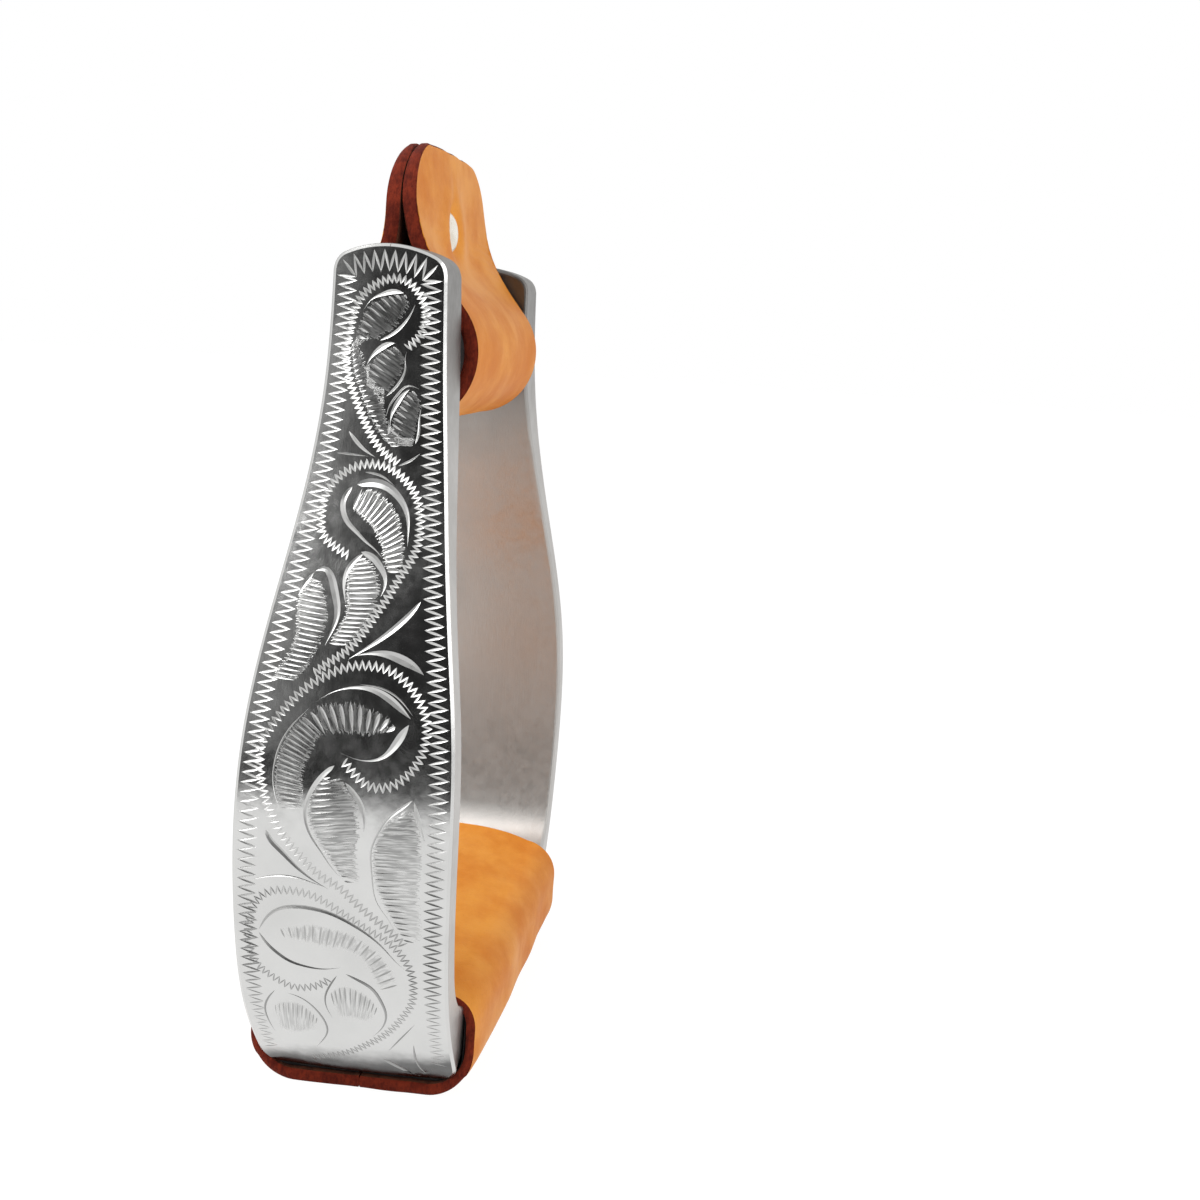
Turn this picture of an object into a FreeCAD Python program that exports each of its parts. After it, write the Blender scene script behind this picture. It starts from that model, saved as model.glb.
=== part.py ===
"""Western stirrup: cast aluminium frame, leather-covered tread and a leather roll on the neck bar.

Millimetres. X runs from leg to leg (the engraved leg is at -X), Y from front to back and Z up.
The origin is under the middle of the tread, on the surface that the stirrup stands on.
"""

import FreeCAD, Part
import Sketcher
import math
import os

V = FreeCAD.Vector

# Driving sizes: name, value, meaning. Lengths in millimetres, angles in degrees.
SIZES = (
    ("casting_height", 172.0, "casting, from the underside of the tread bar to the crown of a leg"),
    ("casting_reach", 73.3, "half the outer width where the legs stand widest"),
    ("neck_reach", 54.2, "half the outer width at the neck"),
    ("leg_wall", 7.3, "thickness of a leg below the neck"),
    ("neck_wall", 14.8, "thickness of a leg at the neck bar"),
    ("leg_breadth", 44.0, "breadth of a leg, front to back, where it is broadest"),
    ("neck_breadth", 22.8, "breadth of a leg at its top"),
    ("leg_crown", 3.2, "rise of the rounded top of a leg"),
    ("leg_corner", 4.0, "corner radius at the top of a leg"),
    ("shoulder_radius", 3.0, "rounding of the top inner edge of a leg"),
    ("shoulder_lift", 0.6, "height above the leg's crown where that rounding would end"),
    ("edge_bevel", 1.1, "bevel along the outer edges of the legs"),
    ("tread_height", 15.0, "height of the tread bar of the casting"),
    ("tread_fillet", 18.0, "inside radius between a leg and the tread bar"),
    ("heel_corner", 4.0, "corner radius under the tread bar"),
    ("bar_drop", 21.0, "neck bar's axis below the crown of the legs"),
    ("bar_diameter", 12.7, "neck bar"),
    ("bar_grip", 9.0, "length of the neck bar that each leg holds"),
    ("roller_diameter", 24.0, "outside of the sleeve on the neck bar"),
    ("roller_clearance", 0.05, "running gap between the bar and the sleeve, on the radius"),
    ("roller_end_gap", 0.4, "gap between the sleeve and a leg, where the legs stand closest"),
    ("roller_slit", 0.8, "slit that lets the sleeve snap over the bar"),
    ("roll_leather", 3.0, "leather of the roll cover"),
    ("roll_end_gap", 1.4, "gap between the roll cover and a leg, where the legs stand closest"),
    ("lift_off_angle", 34.0, "angle above level at which the leather leaves the sleeve"),
    ("fin_height", 44.0, "top of the fin above the neck bar's axis"),
    ("fin_crown", 1.2, "rise of the fin's top edge"),
    ("fin_gap", 0.3, "gap between the two leather flaps where they close"),
    ("fin_lean", 5.0, "angle by which the fin leans back from upright"),
    ("fin_close_end", 37.0, "height above the axis where the flaps close at their ends"),
    ("fin_corner_small", 12.0, "top corner radius of the fin on the engraved side"),
    ("fin_corner_large", 17.0, "top corner radius of the fin on the plain side"),
    ("rivet_height", 26.5, "rivet above the neck bar's axis"),
    ("rivet_cap", 9.0, "diameter of the rivet's cap and back"),
    ("rivet_rim", 0.5, "thickness of the rivet's cap and back at the rim"),
    ("rivet_rise", 1.3, "rise of the cap's dome above its rim"),
    ("rivet_post", 3.4, "diameter of the rivet's post"),
    ("rivet_margin", 0.5, "upright leather below a rivet cap"),
    ("rivet_burr", 1.2, "thickness of the rivet's flat back"),
    ("rivet_clearance", 0.05, "gap round the rivet's post, on the radius"),
    ("pad_thickness", 2.0, "padding round the tread bar"),
    ("pad_rise", 3.1, "length of the padding beyond the start of the tread's inside radius"),
    ("pad_corner_top", 4.6, "top corner radius of the padding"),
    ("pad_corner_under", 5.0, "bottom corner radius of the padding"),
    ("tread_leather", 3.0, "leather of the tread cover"),
    ("tread_cover_rise", 5.6, "length of the tread cover beyond the start of the inside radius"),
    ("tread_crown", 0.8, "rise of the tread's top across its breadth"),
    ("seam_gap", 0.4, "gap of the butt seam under the tread"),
    ("stitch_diameter", 1.2, "thread of the seam"),
    ("stitch_length", 9.0, "length of a stitch across the seam"),
    ("stitch_margin", 8.75, "distance from an end of the tread cover to the first stitch"),
    ("stitch_sink", 0.25, "depth of the stitches below the leather's underside"),
    ("stitch_clearance", 0.1, "gap round a stitch"),
    ("stitch_angle", 24.0, "angle of a stitch to the line square across the seam"),
    ("overrun", 5.0, "distance by which a cutting tool passes the face that it cuts"),
    ("touch", 0.04, "distance below which an edge counts as lying on a face"),
)
STITCHES = 14
STITCH_SIDES = 6

# Outline of a leg, seen from the front. Each row holds a height as a share of the casting's
# height, the flare outward from the neck as a share of the flare of the widest place, and the
# thickening as a share of the difference between the neck's wall and the leg's wall.
LEG_SHARES = (
    (0.000, -0.140, 0.00),
    (0.100, 0.555, 0.00),
    (0.220, 0.911, 0.00),
    (0.337, 1.000, 0.00),
    (0.450, 0.906, 0.00),
    (0.560, 0.700, 0.02),
    (0.660, 0.400, 0.23),
    (0.760, 0.125, 0.62),
    (0.870, 0.000, 0.98),
    (1.000, 0.020, 0.96),
)

# Outline of a leg, seen from the side. Each row holds a height as a share of the straight part of
# the leg's side and the breadth beyond the neck's as a share of the greatest difference.
BREADTH_SHARES = (
    (0.00, 0.930),
    (0.10, 0.965),
    (0.22, 0.990),
    (0.35, 1.000),
    (0.45, 0.930),
    (0.55, 0.730),
    (0.65, 0.480),
    (0.75, 0.260),
    (0.85, 0.100),
    (1.00, 0.000),
)

# Sections of the flaps: place along the roll's half length, and how far the closing height of
# the flaps has gone from its value in the middle to its value at the ends.
PINCH_SHARES = ((-1.0, 1.0), (0.0, 0.0), (1.0, 1.0))

# Softness of a flap's bend where it leaves the round and where it stands upright, as shares of
# the height between the two.
LIFT_SHARE = 0.52
CLOSE_SHARE = 0.46

doc = FreeCAD.newDocument("western_stirrup")
sheet = doc.addObject("Spreadsheet::Sheet", "Sizes")


def write_sizes(rows, first_row):
    """Write sizes to the spreadsheet, one row each, with an alias for every value."""
    for row, (name, value, meaning) in enumerate(rows, start=first_row):
        sheet.set(f"A{row}", name)
        sheet.set(f"B{row}", str(value))
        sheet.set(f"C{row}", meaning)
        sheet.setAlias(f"B{row}", name)
    doc.recompute()


def size(name):
    """Return one size from the sheet."""
    return float(sheet.get(name))


# Curves and outlines


def spline(points):
    """Return the edge of a smooth curve through the points."""
    curve = Part.BSplineCurve()
    curve.interpolate(Points=points)
    return curve.toShape()


def line(start, end):
    """Return a straight edge."""
    return Part.LineSegment(start, end).toShape()


def arc(start, middle, end):
    """Return the edge of a circular arc through three points."""
    return Part.Arc(start, middle, end).toShape()


def mirrored(points):
    """Return the points on the other side of the middle plane, X or Y as their outline lies."""
    return [V(-point.x, -point.y, point.z) for point in points]


def leg_rows():
    """Return the leg's outline rows as (height, outer reach, inner reach)."""
    flare = size("casting_reach") - size("neck_reach")
    thickening = size("neck_wall") - size("leg_wall")
    rows = []
    for height_share, flare_share, wall_share in LEG_SHARES:
        outer = size("neck_reach") + flare_share * flare
        inner = outer - size("leg_wall") - wall_share * thickening
        rows.append((height_share * size("casting_height"), outer, inner))
    return rows


def inner_leg_points():
    """Return the points of a leg's inner curve, from the foot of the leg to its shoulder."""
    points = [V(inner, 0, height) for height, _, inner in leg_rows()]
    points[-1].z = size("casting_height") + size("shoulder_lift") - size("shoulder_radius")
    return points


def neck_inner_reach():
    """Return half the inside width of the neck, where the legs stand closest."""
    middle = line(V(0, 0, size("tread_height")), V(0, 0, size("casting_height")))
    return spline(inner_leg_points()).distToShape(middle)[0]


def foot_inner_reach():
    """Return half the inside width of the legs at the height where the inside radius ends."""
    height = size("tread_height") + size("tread_fillet")
    level = line(V(0, 0, height), V(size("casting_reach"), 0, height))
    return spline(inner_leg_points()).distToShape(level)[1][0][0].x


def side_rows():
    """Return the leg's side rows as (height, half breadth)."""
    half_neck = size("neck_breadth") / 2
    growth = size("leg_breadth") / 2 - half_neck
    straight = size("casting_height") - size("leg_crown")
    return [(level * straight, half_neck + share * growth) for level, share in BREADTH_SHARES]


# Document objects


def outline(name, edges, as_face=True):
    """Keep a closed outline in the document, as a face or as a bare wire."""
    wire = Part.Wire(Part.sortEdges(edges)[0])
    item = doc.addObject("Part::Feature", name)
    item.Shape = Part.Face(wire) if as_face else wire
    return item


def extrude(name, base, direction, length):
    """Extrude an outline by the same length both ways. The length is an expression."""
    solid = doc.addObject("Part::Extrusion", name)
    solid.Base = base
    solid.DirMode = "Custom"
    solid.Dir = direction
    solid.Solid = True
    solid.setExpression("LengthFwd", length)
    solid.setExpression("LengthRev", length)
    return solid


def boolean(kind, name, base, tool):
    """Combine two objects by Part::Cut or Part::Common."""
    item = doc.addObject(kind, name)
    item.Base = base
    item.Tool = tool
    return item


def dress_edges(kind, name, base, choices):
    """Fillet or chamfer edges of a solid. Each choice is (test of an edge, size)."""
    doc.recompute()
    item = doc.addObject(kind, name)
    item.Base = base
    picked = []
    for number, edge in enumerate(base.Shape.Edges, start=1):
        for test, radius in choices:
            if test(edge):
                picked.append((number, radius, radius))
                break
    item.Edges = picked
    return item


def box_tool(name, length, width, height, corner):
    """Make a box whose sizes and least corner are expressions."""
    item = doc.addObject("Part::Box", name)
    for field, expression in zip(("Length", "Width", "Height"), (length, width, height)):
        item.setExpression(field, expression)
    for axis, expression in zip("xyz", corner):
        item.setExpression(f"Placement.Base.{axis}", expression)
    return item


def seat(item, name, height, lean=None):
    """Name a finished piece and put it at its height, leaning back where it leans."""
    item.Label = name
    if lean:
        item.Placement.Rotation = FreeCAD.Rotation(V(-1, 0, 0), size(lean))
    item.setExpression("Placement.Base.z", height)
    return item


def ring_body(name, outer, inner, half_length):
    """Pad a round bar, or a tube where an inner diameter is given, along X."""
    body = doc.addObject("PartDesign::Body", name)
    plane = next(item for item in body.Origin.OriginFeatures if item.Role == "YZ_Plane")
    sketch = body.newObject("Sketcher::SketchObject", f"{name}_section")
    sketch.AttachmentSupport = [(plane, "")]
    sketch.MapMode = "FlatFace"
    for expression in (outer, inner):
        if expression:
            circle = sketch.addGeometry(Part.Circle(V(0, 0, 0), V(0, 0, 1), size("overrun")), False)
            sketch.addConstraint(Sketcher.Constraint("Coincident", circle, 3, -1, 1))
            rule = sketch.addConstraint(Sketcher.Constraint("Diameter", circle, size("overrun")))
            sketch.setExpression(f"Constraints[{rule}]", expression)
    pad = body.newObject("PartDesign::Pad", f"{name}_pad")
    pad.Profile = sketch
    pad.SideType = "Symmetric"
    pad.setExpression("Length", f"2 * ({half_length})")
    return body


# Frame: the legs and the tread bar, one casting


def make_casting():
    """Cast frame: front and side outlines in common, less the window and two blind sockets."""
    height = size("casting_height")
    outer = [V(reach, 0, level) for level, reach, _ in leg_rows()]
    far_outer = mirrored(outer)
    front = outline("front_outline", [
        spline(outer),
        line(outer[-1], far_outer[-1]),
        spline(far_outer),
        line(far_outer[0], outer[0]),
    ])
    blank = extrude("front_blank", front, V(0, 1, 0), "Sizes.leg_breadth")

    inner = inner_leg_points()
    shoulder = size("shoulder_radius")
    half_turn = math.sqrt(0.5) * shoulder
    turn = inner[-1] + V(shoulder - half_turn, 0, half_turn)
    brim = inner[-1] + V(shoulder, 0, shoulder)
    above = brim + V(0, 0, size("overrun"))
    far_inner = mirrored(inner)
    far_turn, far_brim, far_above = mirrored([turn, brim, above])
    window = outline("window_outline", [
        spline(inner),
        arc(inner[-1], turn, brim),
        line(brim, above),
        line(above, far_above),
        line(far_above, far_brim),
        arc(far_brim, far_turn, far_inner[-1]),
        spline(far_inner),
        line(far_inner[0], inner[0]),
    ])
    window_blank = extrude("window_blank", window, V(0, 1, 0), "Sizes.leg_breadth + Sizes.overrun")
    floor = box_tool("window_floor", "2 * Sizes.casting_reach", "4 * Sizes.leg_breadth",
                     "Sizes.tread_height + Sizes.overrun",
                     ("-Sizes.casting_reach", "-2 * Sizes.leg_breadth", "-Sizes.overrun"))
    window_cut = boolean("Part::Cut", "window_above_tread", window_blank, floor)

    def window_corner(edge):
        """Tell whether an edge is one of the window's two bottom corners."""
        box = edge.BoundBox
        return box.ZMax < size("tread_height") + size("touch") and box.YLength > box.XLength

    window_round = dress_edges("Part::Fillet", "window_rounded", window_cut,
                               [(window_corner, size("tread_fillet"))])
    ring = boolean("Part::Cut", "frame_ring", blank, window_round)

    side = [V(0, half_breadth, level) for level, half_breadth in side_rows()]
    far_side = mirrored(side)
    profile = outline("side_outline", [
        spline(side),
        arc(side[-1], V(0, 0, height), far_side[-1]),
        spline(far_side),
        line(far_side[0], side[0]),
    ])
    side_blank = extrude("side_blank", profile, V(1, 0, 0), "Sizes.casting_reach + Sizes.overrun")

    def lengthwise(edge):
        """Tell whether an edge runs straight along X."""
        box = edge.BoundBox
        return box.XLength > size("casting_reach") and box.YLength + box.ZLength < box.XLength / 2

    side_round = dress_edges("Part::Fillet", "side_rounded", side_blank, [
        (lambda edge: lengthwise(edge) and edge.CenterOfMass.z > height / 2, size("leg_corner")),
        (lambda edge: lengthwise(edge) and edge.CenterOfMass.z < height / 2, size("heel_corner")),
    ])
    body = boolean("Part::Common", "frame_body", ring, side_round)

    outer_curve = spline(outer)

    def on_outer_face(edge):
        """Tell whether an edge lies on the outer face of a leg."""
        middle = edge.valueAt((edge.FirstParameter + edge.LastParameter) / 2)
        probe = Part.Vertex(V(abs(middle.x), 0, middle.z))
        return probe.distToShape(outer_curve)[0] < size("touch")

    bevelled = dress_edges("Part::Chamfer", "frame_bevelled", body, [(on_outer_face, size("edge_bevel"))])
    sockets = doc.addObject("Part::Cylinder", "bar_sockets")
    sockets.Placement.Rotation = FreeCAD.Rotation(V(0, 1, 0), 90)
    sockets.setExpression("Radius", "Sizes.bar_diameter / 2")
    sockets.setExpression("Height", "2 * (Sizes.neck_inner + Sizes.bar_grip)")
    sockets.setExpression("Placement.Base.x", "-(Sizes.neck_inner + Sizes.bar_grip)")
    sockets.setExpression("Placement.Base.z", "Sizes.casting_height - Sizes.bar_drop")
    casting = boolean("Part::Cut", "stirrup_frame", bevelled, sockets)
    return seat(casting, "stirrup_frame", "Sizes.base_rise")


# Neck: bar, sleeve, leather roll and rivet. The roll's pieces are drawn about the bar's axis.


def make_neck_bar():
    """Steel bar across the neck, both ends held in the legs."""
    bar = ring_body("neck_bar", "Sizes.bar_diameter", None, "Sizes.neck_inner + Sizes.bar_grip")
    return seat(bar, "neck_bar", "Sizes.bar_height")


def make_roller():
    """Black sleeve on the bar, slit along its top so that it snaps over the bar."""
    tube = ring_body("bar_roller_tube", "Sizes.roller_diameter",
                     "Sizes.bar_diameter + 2 * Sizes.roller_clearance",
                     "Sizes.neck_inner - Sizes.roller_end_gap")
    slit = box_tool("roller_slit_tool", "2 * Sizes.neck_inner", "Sizes.roller_slit",
                    "Sizes.roller_diameter", ("-Sizes.neck_inner", "-Sizes.roller_slit / 2", "0"))
    return seat(boolean("Part::Cut", "bar_roller", tube, slit), "bar_roller", "Sizes.bar_height", "fin_lean")


def flap_edge(place, gap, radius, close_height):
    """Return the edges up one side of a flap, from the sleeve to above the fin, and their ends.

    The leather leaves the round at the lift-off angle, bends back in one soft curve and stands
    upright from the closing height on.

    Args:
        place: where the section lies along X.
        gap: how far the flap's side stands from the fin's middle plane once it is closed.
        radius: radius of the same side where the leather lies on the sleeve.
        close_height: height above the axis where the flap stands upright.
    """
    angle = math.radians(size("lift_off_angle"))
    start = V(place, radius * math.cos(angle), radius * math.sin(angle))
    upright = V(place, gap, close_height)
    tip = V(place, gap, size("fin_height") + size("overrun"))
    reach = LIFT_SHARE * (close_height - start.z)
    bend = Part.BezierCurve()
    bend.setPoles([
        start,
        start + V(0, -math.sin(angle), math.cos(angle)) * reach,
        upright - V(0, 0, CLOSE_SHARE * (close_height - start.z)),
        upright,
    ])
    return [bend.toShape(), line(upright, tip)], start, tip


def flap_section(name, place, close_height):
    """Return the wire across the front flap's leather at a place along X."""
    near = size("fin_gap") / 2
    small = size("roller_diameter") / 2
    inner, inner_start, inner_tip = flap_edge(place, near, small, close_height)
    outer, outer_start, outer_tip = flap_edge(place, near + size("roll_leather"),
                                              small + size("roll_leather"), close_height)
    edges = inner + outer + [line(inner_start, outer_start), line(inner_tip, outer_tip)]
    return outline(name, edges, as_face=False)


def make_roll_cover():
    """Leather roll cover: a wrap round the sleeve and two lofted flaps, trimmed and pierced."""
    half_length = size("neck_inner") - size("roll_end_gap")
    small = size("roller_diameter") / 2
    large = small + size("roll_leather")
    angle = math.radians(size("lift_off_angle"))
    inner = V(0, small * math.cos(angle), small * math.sin(angle))
    outer = V(0, large * math.cos(angle), large * math.sin(angle))
    far_inner, far_outer = V(0, -inner.y, inner.z), V(0, -outer.y, outer.z)
    wrap_outline = outline("roll_wrap_outline", [
        arc(inner, V(0, 0, -small), far_inner),
        line(far_inner, far_outer),
        arc(far_outer, V(0, 0, -large), outer),
        line(outer, inner),
    ])
    wrap = extrude("roll_wrap", wrap_outline, V(1, 0, 0), "Sizes.neck_inner - Sizes.roll_end_gap")

    middle = size("rivet_height") - size("rivet_cap") / 2 - size("rivet_margin")
    rise = size("fin_close_end") - middle
    sections = []
    for number, (place_share, pinch_share) in enumerate(PINCH_SHARES, start=1):
        name = f"flap_section_{number}"
        sections.append(flap_section(name, place_share * half_length, middle + pinch_share * rise))
    flap = doc.addObject("Part::Loft", "back_flap")
    flap.Sections = sections
    flap.Solid = True
    facing = doc.addObject("Part::Mirroring", "front_flap")
    facing.Source = flap
    facing.Normal = V(0, 1, 0)
    flaps = boolean("Part::Fuse", "roll_flaps", flap, facing)
    roll = boolean("Part::Fuse", "roll_untrimmed", wrap, flaps)

    shoulder = size("fin_height") - size("fin_crown")
    below = -size("roller_diameter")
    corners = [V(-half_length, 0, below), V(half_length, 0, below),
               V(half_length, 0, shoulder), V(-half_length, 0, shoulder)]
    fin = outline("fin_outline", [
        line(corners[0], corners[1]),
        line(corners[1], corners[2]),
        arc(corners[2], V(0, 0, size("fin_height")), corners[3]),
        line(corners[3], corners[0]),
    ])
    fin_blank = extrude("fin_blank", fin, V(0, 1, 0), "Sizes.roller_diameter")

    def fin_corner(edge, flip):
        """Tell whether an edge is the fin's top corner on one side."""
        box = edge.BoundBox
        return box.YLength > size("roller_diameter") and box.ZMin > 0 and flip * box.XMin > 0

    fin_round = dress_edges("Part::Fillet", "fin_rounded", fin_blank, [
        (lambda edge: fin_corner(edge, -1), size("fin_corner_small")),
        (lambda edge: fin_corner(edge, 1), size("fin_corner_large")),
    ])
    trimmed = boolean("Part::Common", "roll_trimmed", roll, fin_round)
    hole = doc.addObject("Part::Cylinder", "rivet_hole")
    hole.Placement.Rotation = FreeCAD.Rotation(V(1, 0, 0), 90)
    hole.setExpression("Radius", "Sizes.rivet_post / 2 + Sizes.rivet_clearance")
    hole.setExpression("Height", "2 * Sizes.roller_diameter")
    hole.setExpression("Placement.Base.y", "Sizes.roller_diameter")
    hole.setExpression("Placement.Base.z", "Sizes.rivet_height")
    cover = boolean("Part::Cut", "roll_cover", trimmed, hole)
    return seat(cover, "roll_cover", "Sizes.bar_height", "fin_lean")


def turned(name, edges):
    """Return the solid that a closed profile makes about the rivet's axis."""
    item = doc.addObject("Part::Revolution", name)
    item.Source = outline(f"{name}_profile", edges)
    item.Base = V(0, 0, size("rivet_height"))
    item.Axis = V(0, 1, 0)
    item.Solid = True
    return seat(item, name, "Sizes.bar_height", "fin_lean")


def profile_points(*pairs):
    """Return points of a rivet profile from pairs of place along Y and distance off the axis."""
    return [V(0, along, size("rivet_height") + out) for along, out in pairs]


def make_rivet():
    """Domed cap with its post through both flaps, and the flat back on the post's end."""
    flap = size("fin_gap") / 2 + size("roll_leather")
    radius = size("rivet_cap") / 2
    post = size("rivet_post") / 2
    rise = size("rivet_rise")
    sphere = (radius**2 + rise**2) / (2 * rise)
    rim = flap + size("rivet_rim")
    half_way = math.asin(radius / sphere) / 2
    bulge = rim + rise - sphere * (1 - math.cos(half_way))
    points = profile_points(
        (flap + size("rivet_burr"), 0),
        (flap + size("rivet_burr"), post),
        (-flap, post),
        (-flap, radius),
        (-rim, radius),
        (-bulge, sphere * math.sin(half_way)),
        (-rim - rise, 0),
    )
    edges = [line(start, end) for start, end in zip(points[:4], points[1:5])]
    edges.append(arc(*points[4:]))
    edges.append(line(points[-1], points[0]))
    cap = turned("rivet_cap", edges)

    bore = post + size("rivet_clearance")
    burr = flap + size("rivet_burr")
    corners = profile_points((flap, bore), (flap, radius), (flap + size("rivet_rim"), radius), (burr, radius - rise),
                             (burr, bore))
    back = turned("rivet_back", [line(start, end) for start, end in zip(corners, corners[1:] + corners[:1])])
    return [cap, back]


# Tread: padding, leather and the seam underneath


def rounded_section(name, half_width, bottom, top, under_radius, top_radius, crown):
    """Return the face of a section across the tread with rounded corners and a crowned top."""
    shoulder = top - crown
    slant = 1 - math.cos(math.pi / 4)

    def corner(y_sign, level, radius, up):
        """Return the points of a corner: on the side, in the middle, on the flat."""
        side = V(0, y_sign * half_width, level - up * radius)
        middle = V(0, y_sign * (half_width - slant * radius), level - up * slant * radius)
        flat = V(0, y_sign * (half_width - radius), level)
        return side, middle, flat

    edges = []
    for y_sign in (1, -1):
        low_side, low_middle, low_flat = corner(y_sign, bottom, under_radius, -1)
        top_side, top_middle, top_flat = corner(y_sign, shoulder, top_radius, 1)
        edges.append(arc(low_flat, low_middle, low_side))
        edges.append(line(low_side, top_side))
        edges.append(arc(top_side, top_middle, top_flat))
    flat_under = half_width - under_radius
    flat_top = half_width - top_radius
    edges.append(line(V(0, -flat_under, bottom), V(0, flat_under, bottom)))
    edges.append(arc(V(0, -flat_top, shoulder), V(0, 0, top), V(0, flat_top, shoulder)))
    return outline(name, edges)


def tread_section(name, grow):
    """Return the section of the padding's outside, grown by a distance."""
    half_width = size("tread_half_breadth") + size("pad_thickness") + grow
    bottom = -size("pad_thickness") - grow
    top = size("tread_height") + size("pad_thickness") + size("tread_crown") + grow
    return rounded_section(name, half_width, bottom, top, size("pad_corner_under") + grow,
                           size("pad_corner_top") + grow, size("tread_crown"))


def make_pad(casting):
    """Padding round the tread bar, hollowed by the casting that it wraps."""
    blank = extrude("pad_blank", tread_section("pad_outline", 0), V(1, 0, 0), "Sizes.pad_reach")
    return seat(boolean("Part::Cut", "tread_pad", blank, casting.Base), "tread_pad", "Sizes.base_rise")


def stitch_places():
    """Return every stitch's place along the seam and its turn, slanting either way by turns."""
    places = []
    first = size("tread_cover_reach") - size("stitch_margin")
    for number in range(STITCHES):
        along = V(first * (2 * number / (STITCHES - 1) - 1), 0, 0)
        slant = size("stitch_angle") if number % 2 else -size("stitch_angle")
        places.append((along, FreeCAD.Rotation(V(0, 0, 1), slant)))
    return places


def make_tread_cover():
    """Leather sleeve of the tread: its edges butt underneath, with a slot for every stitch."""
    outside = extrude("tread_cover_outside", tread_section("tread_cover_outline", size("tread_leather")),
                      V(1, 0, 0), "Sizes.tread_cover_reach")
    inside = extrude("tread_cover_inside", tread_section("tread_cover_bore", 0), V(1, 0, 0),
                     "Sizes.tread_cover_reach + Sizes.overrun")
    sleeve = boolean("Part::Cut", "tread_sleeve", outside, inside)
    under = "-Sizes.base_rise - Sizes.overrun"
    seam = box_tool("seam_tool", "2 * (Sizes.tread_cover_reach + Sizes.overrun)", "Sizes.seam_gap",
                    "Sizes.tread_height / 2 + Sizes.base_rise + Sizes.overrun",
                    ("-Sizes.tread_cover_reach - Sizes.overrun", "-Sizes.seam_gap / 2", under))
    tools = [seam]
    depth = size("overrun") + size("stitch_sink") + size("stitch_diameter") + size("stitch_clearance")
    for number, (place, turn) in enumerate(stitch_places(), start=1):
        slot = doc.addObject("Part::Box", f"stitch_slot_{number}")
        slot.setExpression("Length", "Sizes.stitch_diameter + 2 * Sizes.stitch_clearance")
        slot.setExpression("Width", "Sizes.stitch_length + 2 * Sizes.stitch_clearance")
        slot.Height = depth
        half = V(size("stitch_diameter") / 2, size("stitch_length") / 2, 0)
        half += V(size("stitch_clearance"), size("stitch_clearance"), 0)
        start = place - turn.multVec(half) - V(0, 0, size("base_rise") + size("overrun"))
        slot.Placement = FreeCAD.Placement(start, turn)
        tools.append(slot)
    knives = doc.addObject("Part::Compound", "tread_cover_tools")
    knives.Links = tools
    return seat(boolean("Part::Cut", "tread_cover", sleeve, knives), "tread_cover", "Sizes.base_rise")


def make_lacing():
    """Thread of the seam: a six-sided stitch lying in every slot."""
    stitches = []
    along = FreeCAD.Rotation(V(1, 0, 0), -90)
    for number, (place, turn) in enumerate(stitch_places(), start=1):
        stitch = doc.addObject("Part::Prism", f"stitch_{number}")
        stitch.Polygon = STITCH_SIDES
        stitch.setExpression("Circumradius", "Sizes.stitch_diameter / 2")
        stitch.setExpression("Height", "Sizes.stitch_length")
        start = place - turn.multVec(V(0, size("stitch_length") / 2, 0))
        stitch.Placement = FreeCAD.Placement(start, turn.multiply(along))
        stitches.append(stitch)
    lacing = doc.addObject("Part::Compound", "tread_lacing")
    lacing.Links = stitches
    return seat(lacing, "tread_lacing", "Sizes.stitch_sink + Sizes.stitch_diameter / 2")


def check(item):
    """Stop when an object failed to build."""
    if "Invalid" in item.State or "Error" in item.State:
        raise RuntimeError(f"{item.Name} failed: {item.State}")


def export(pieces):
    """Check every object and write each finished piece under its name."""
    doc.recompute()
    for item in doc.Objects:
        check(item)
    for piece in pieces:
        if piece.Shape.isNull() or not piece.Shape.isValid():
            raise RuntimeError(f"{piece.Label} has no valid shape")
        box = piece.Shape.BoundBox
        print(f"{piece.Label}: {len(piece.Shape.Solids)} solids, {piece.Shape.Volume:.1f} mm3, "
              f"x {box.XMin:.1f}..{box.XMax:.1f} y {box.YMin:.1f}..{box.YMax:.1f} "
              f"z {box.ZMin:.1f}..{box.ZMax:.1f}")
        piece.Shape.exportStep(f"parts/{piece.Label}.step")


os.makedirs("parts", exist_ok=True)
write_sizes(SIZES, 1)
write_sizes((
    ("base_rise", size("pad_thickness") + size("tread_leather"), "casting above the ground"),
    ("neck_inner", neck_inner_reach(), "half the inside width where the legs stand closest"),
    ("tread_half_breadth", side_rows()[1][1], "half the breadth of the legs above the tread bar"),
    ("radius_start", foot_inner_reach() - size("tread_fillet"), "middle to the start of the tread's inside radius"),
), len(SIZES) + 1)
write_sizes((
    ("bar_height", size("base_rise") + size("casting_height") - size("bar_drop"), "neck bar's axis"),
    ("pad_reach", size("radius_start") + size("pad_rise"), "half the length of the padding"),
    ("tread_cover_reach", size("radius_start") + size("tread_cover_rise"), "half the tread cover"),
), len(SIZES) + 5)
casting = make_casting()
export([
    casting,
    make_neck_bar(),
    make_roller(),
    make_roll_cover(),
    *make_rivet(),
    make_pad(casting),
    make_tread_cover(),
    make_lacing(),
])
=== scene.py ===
"""Western stirrup dressed for its picture.

Engraved cast legs, a leather roll with a riveted fin over the neck bar and a leather-covered
tread. The sizes in the classes are millimetres; a point of the photograph is a pair of pixels.
"""

import logging
import math
from collections.abc import Callable, Sequence
from dataclasses import dataclass, field
from enum import Enum

import bmesh
import bpy
import numpy as np
from mathutils import Euler, Matrix, Vector, noise


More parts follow.
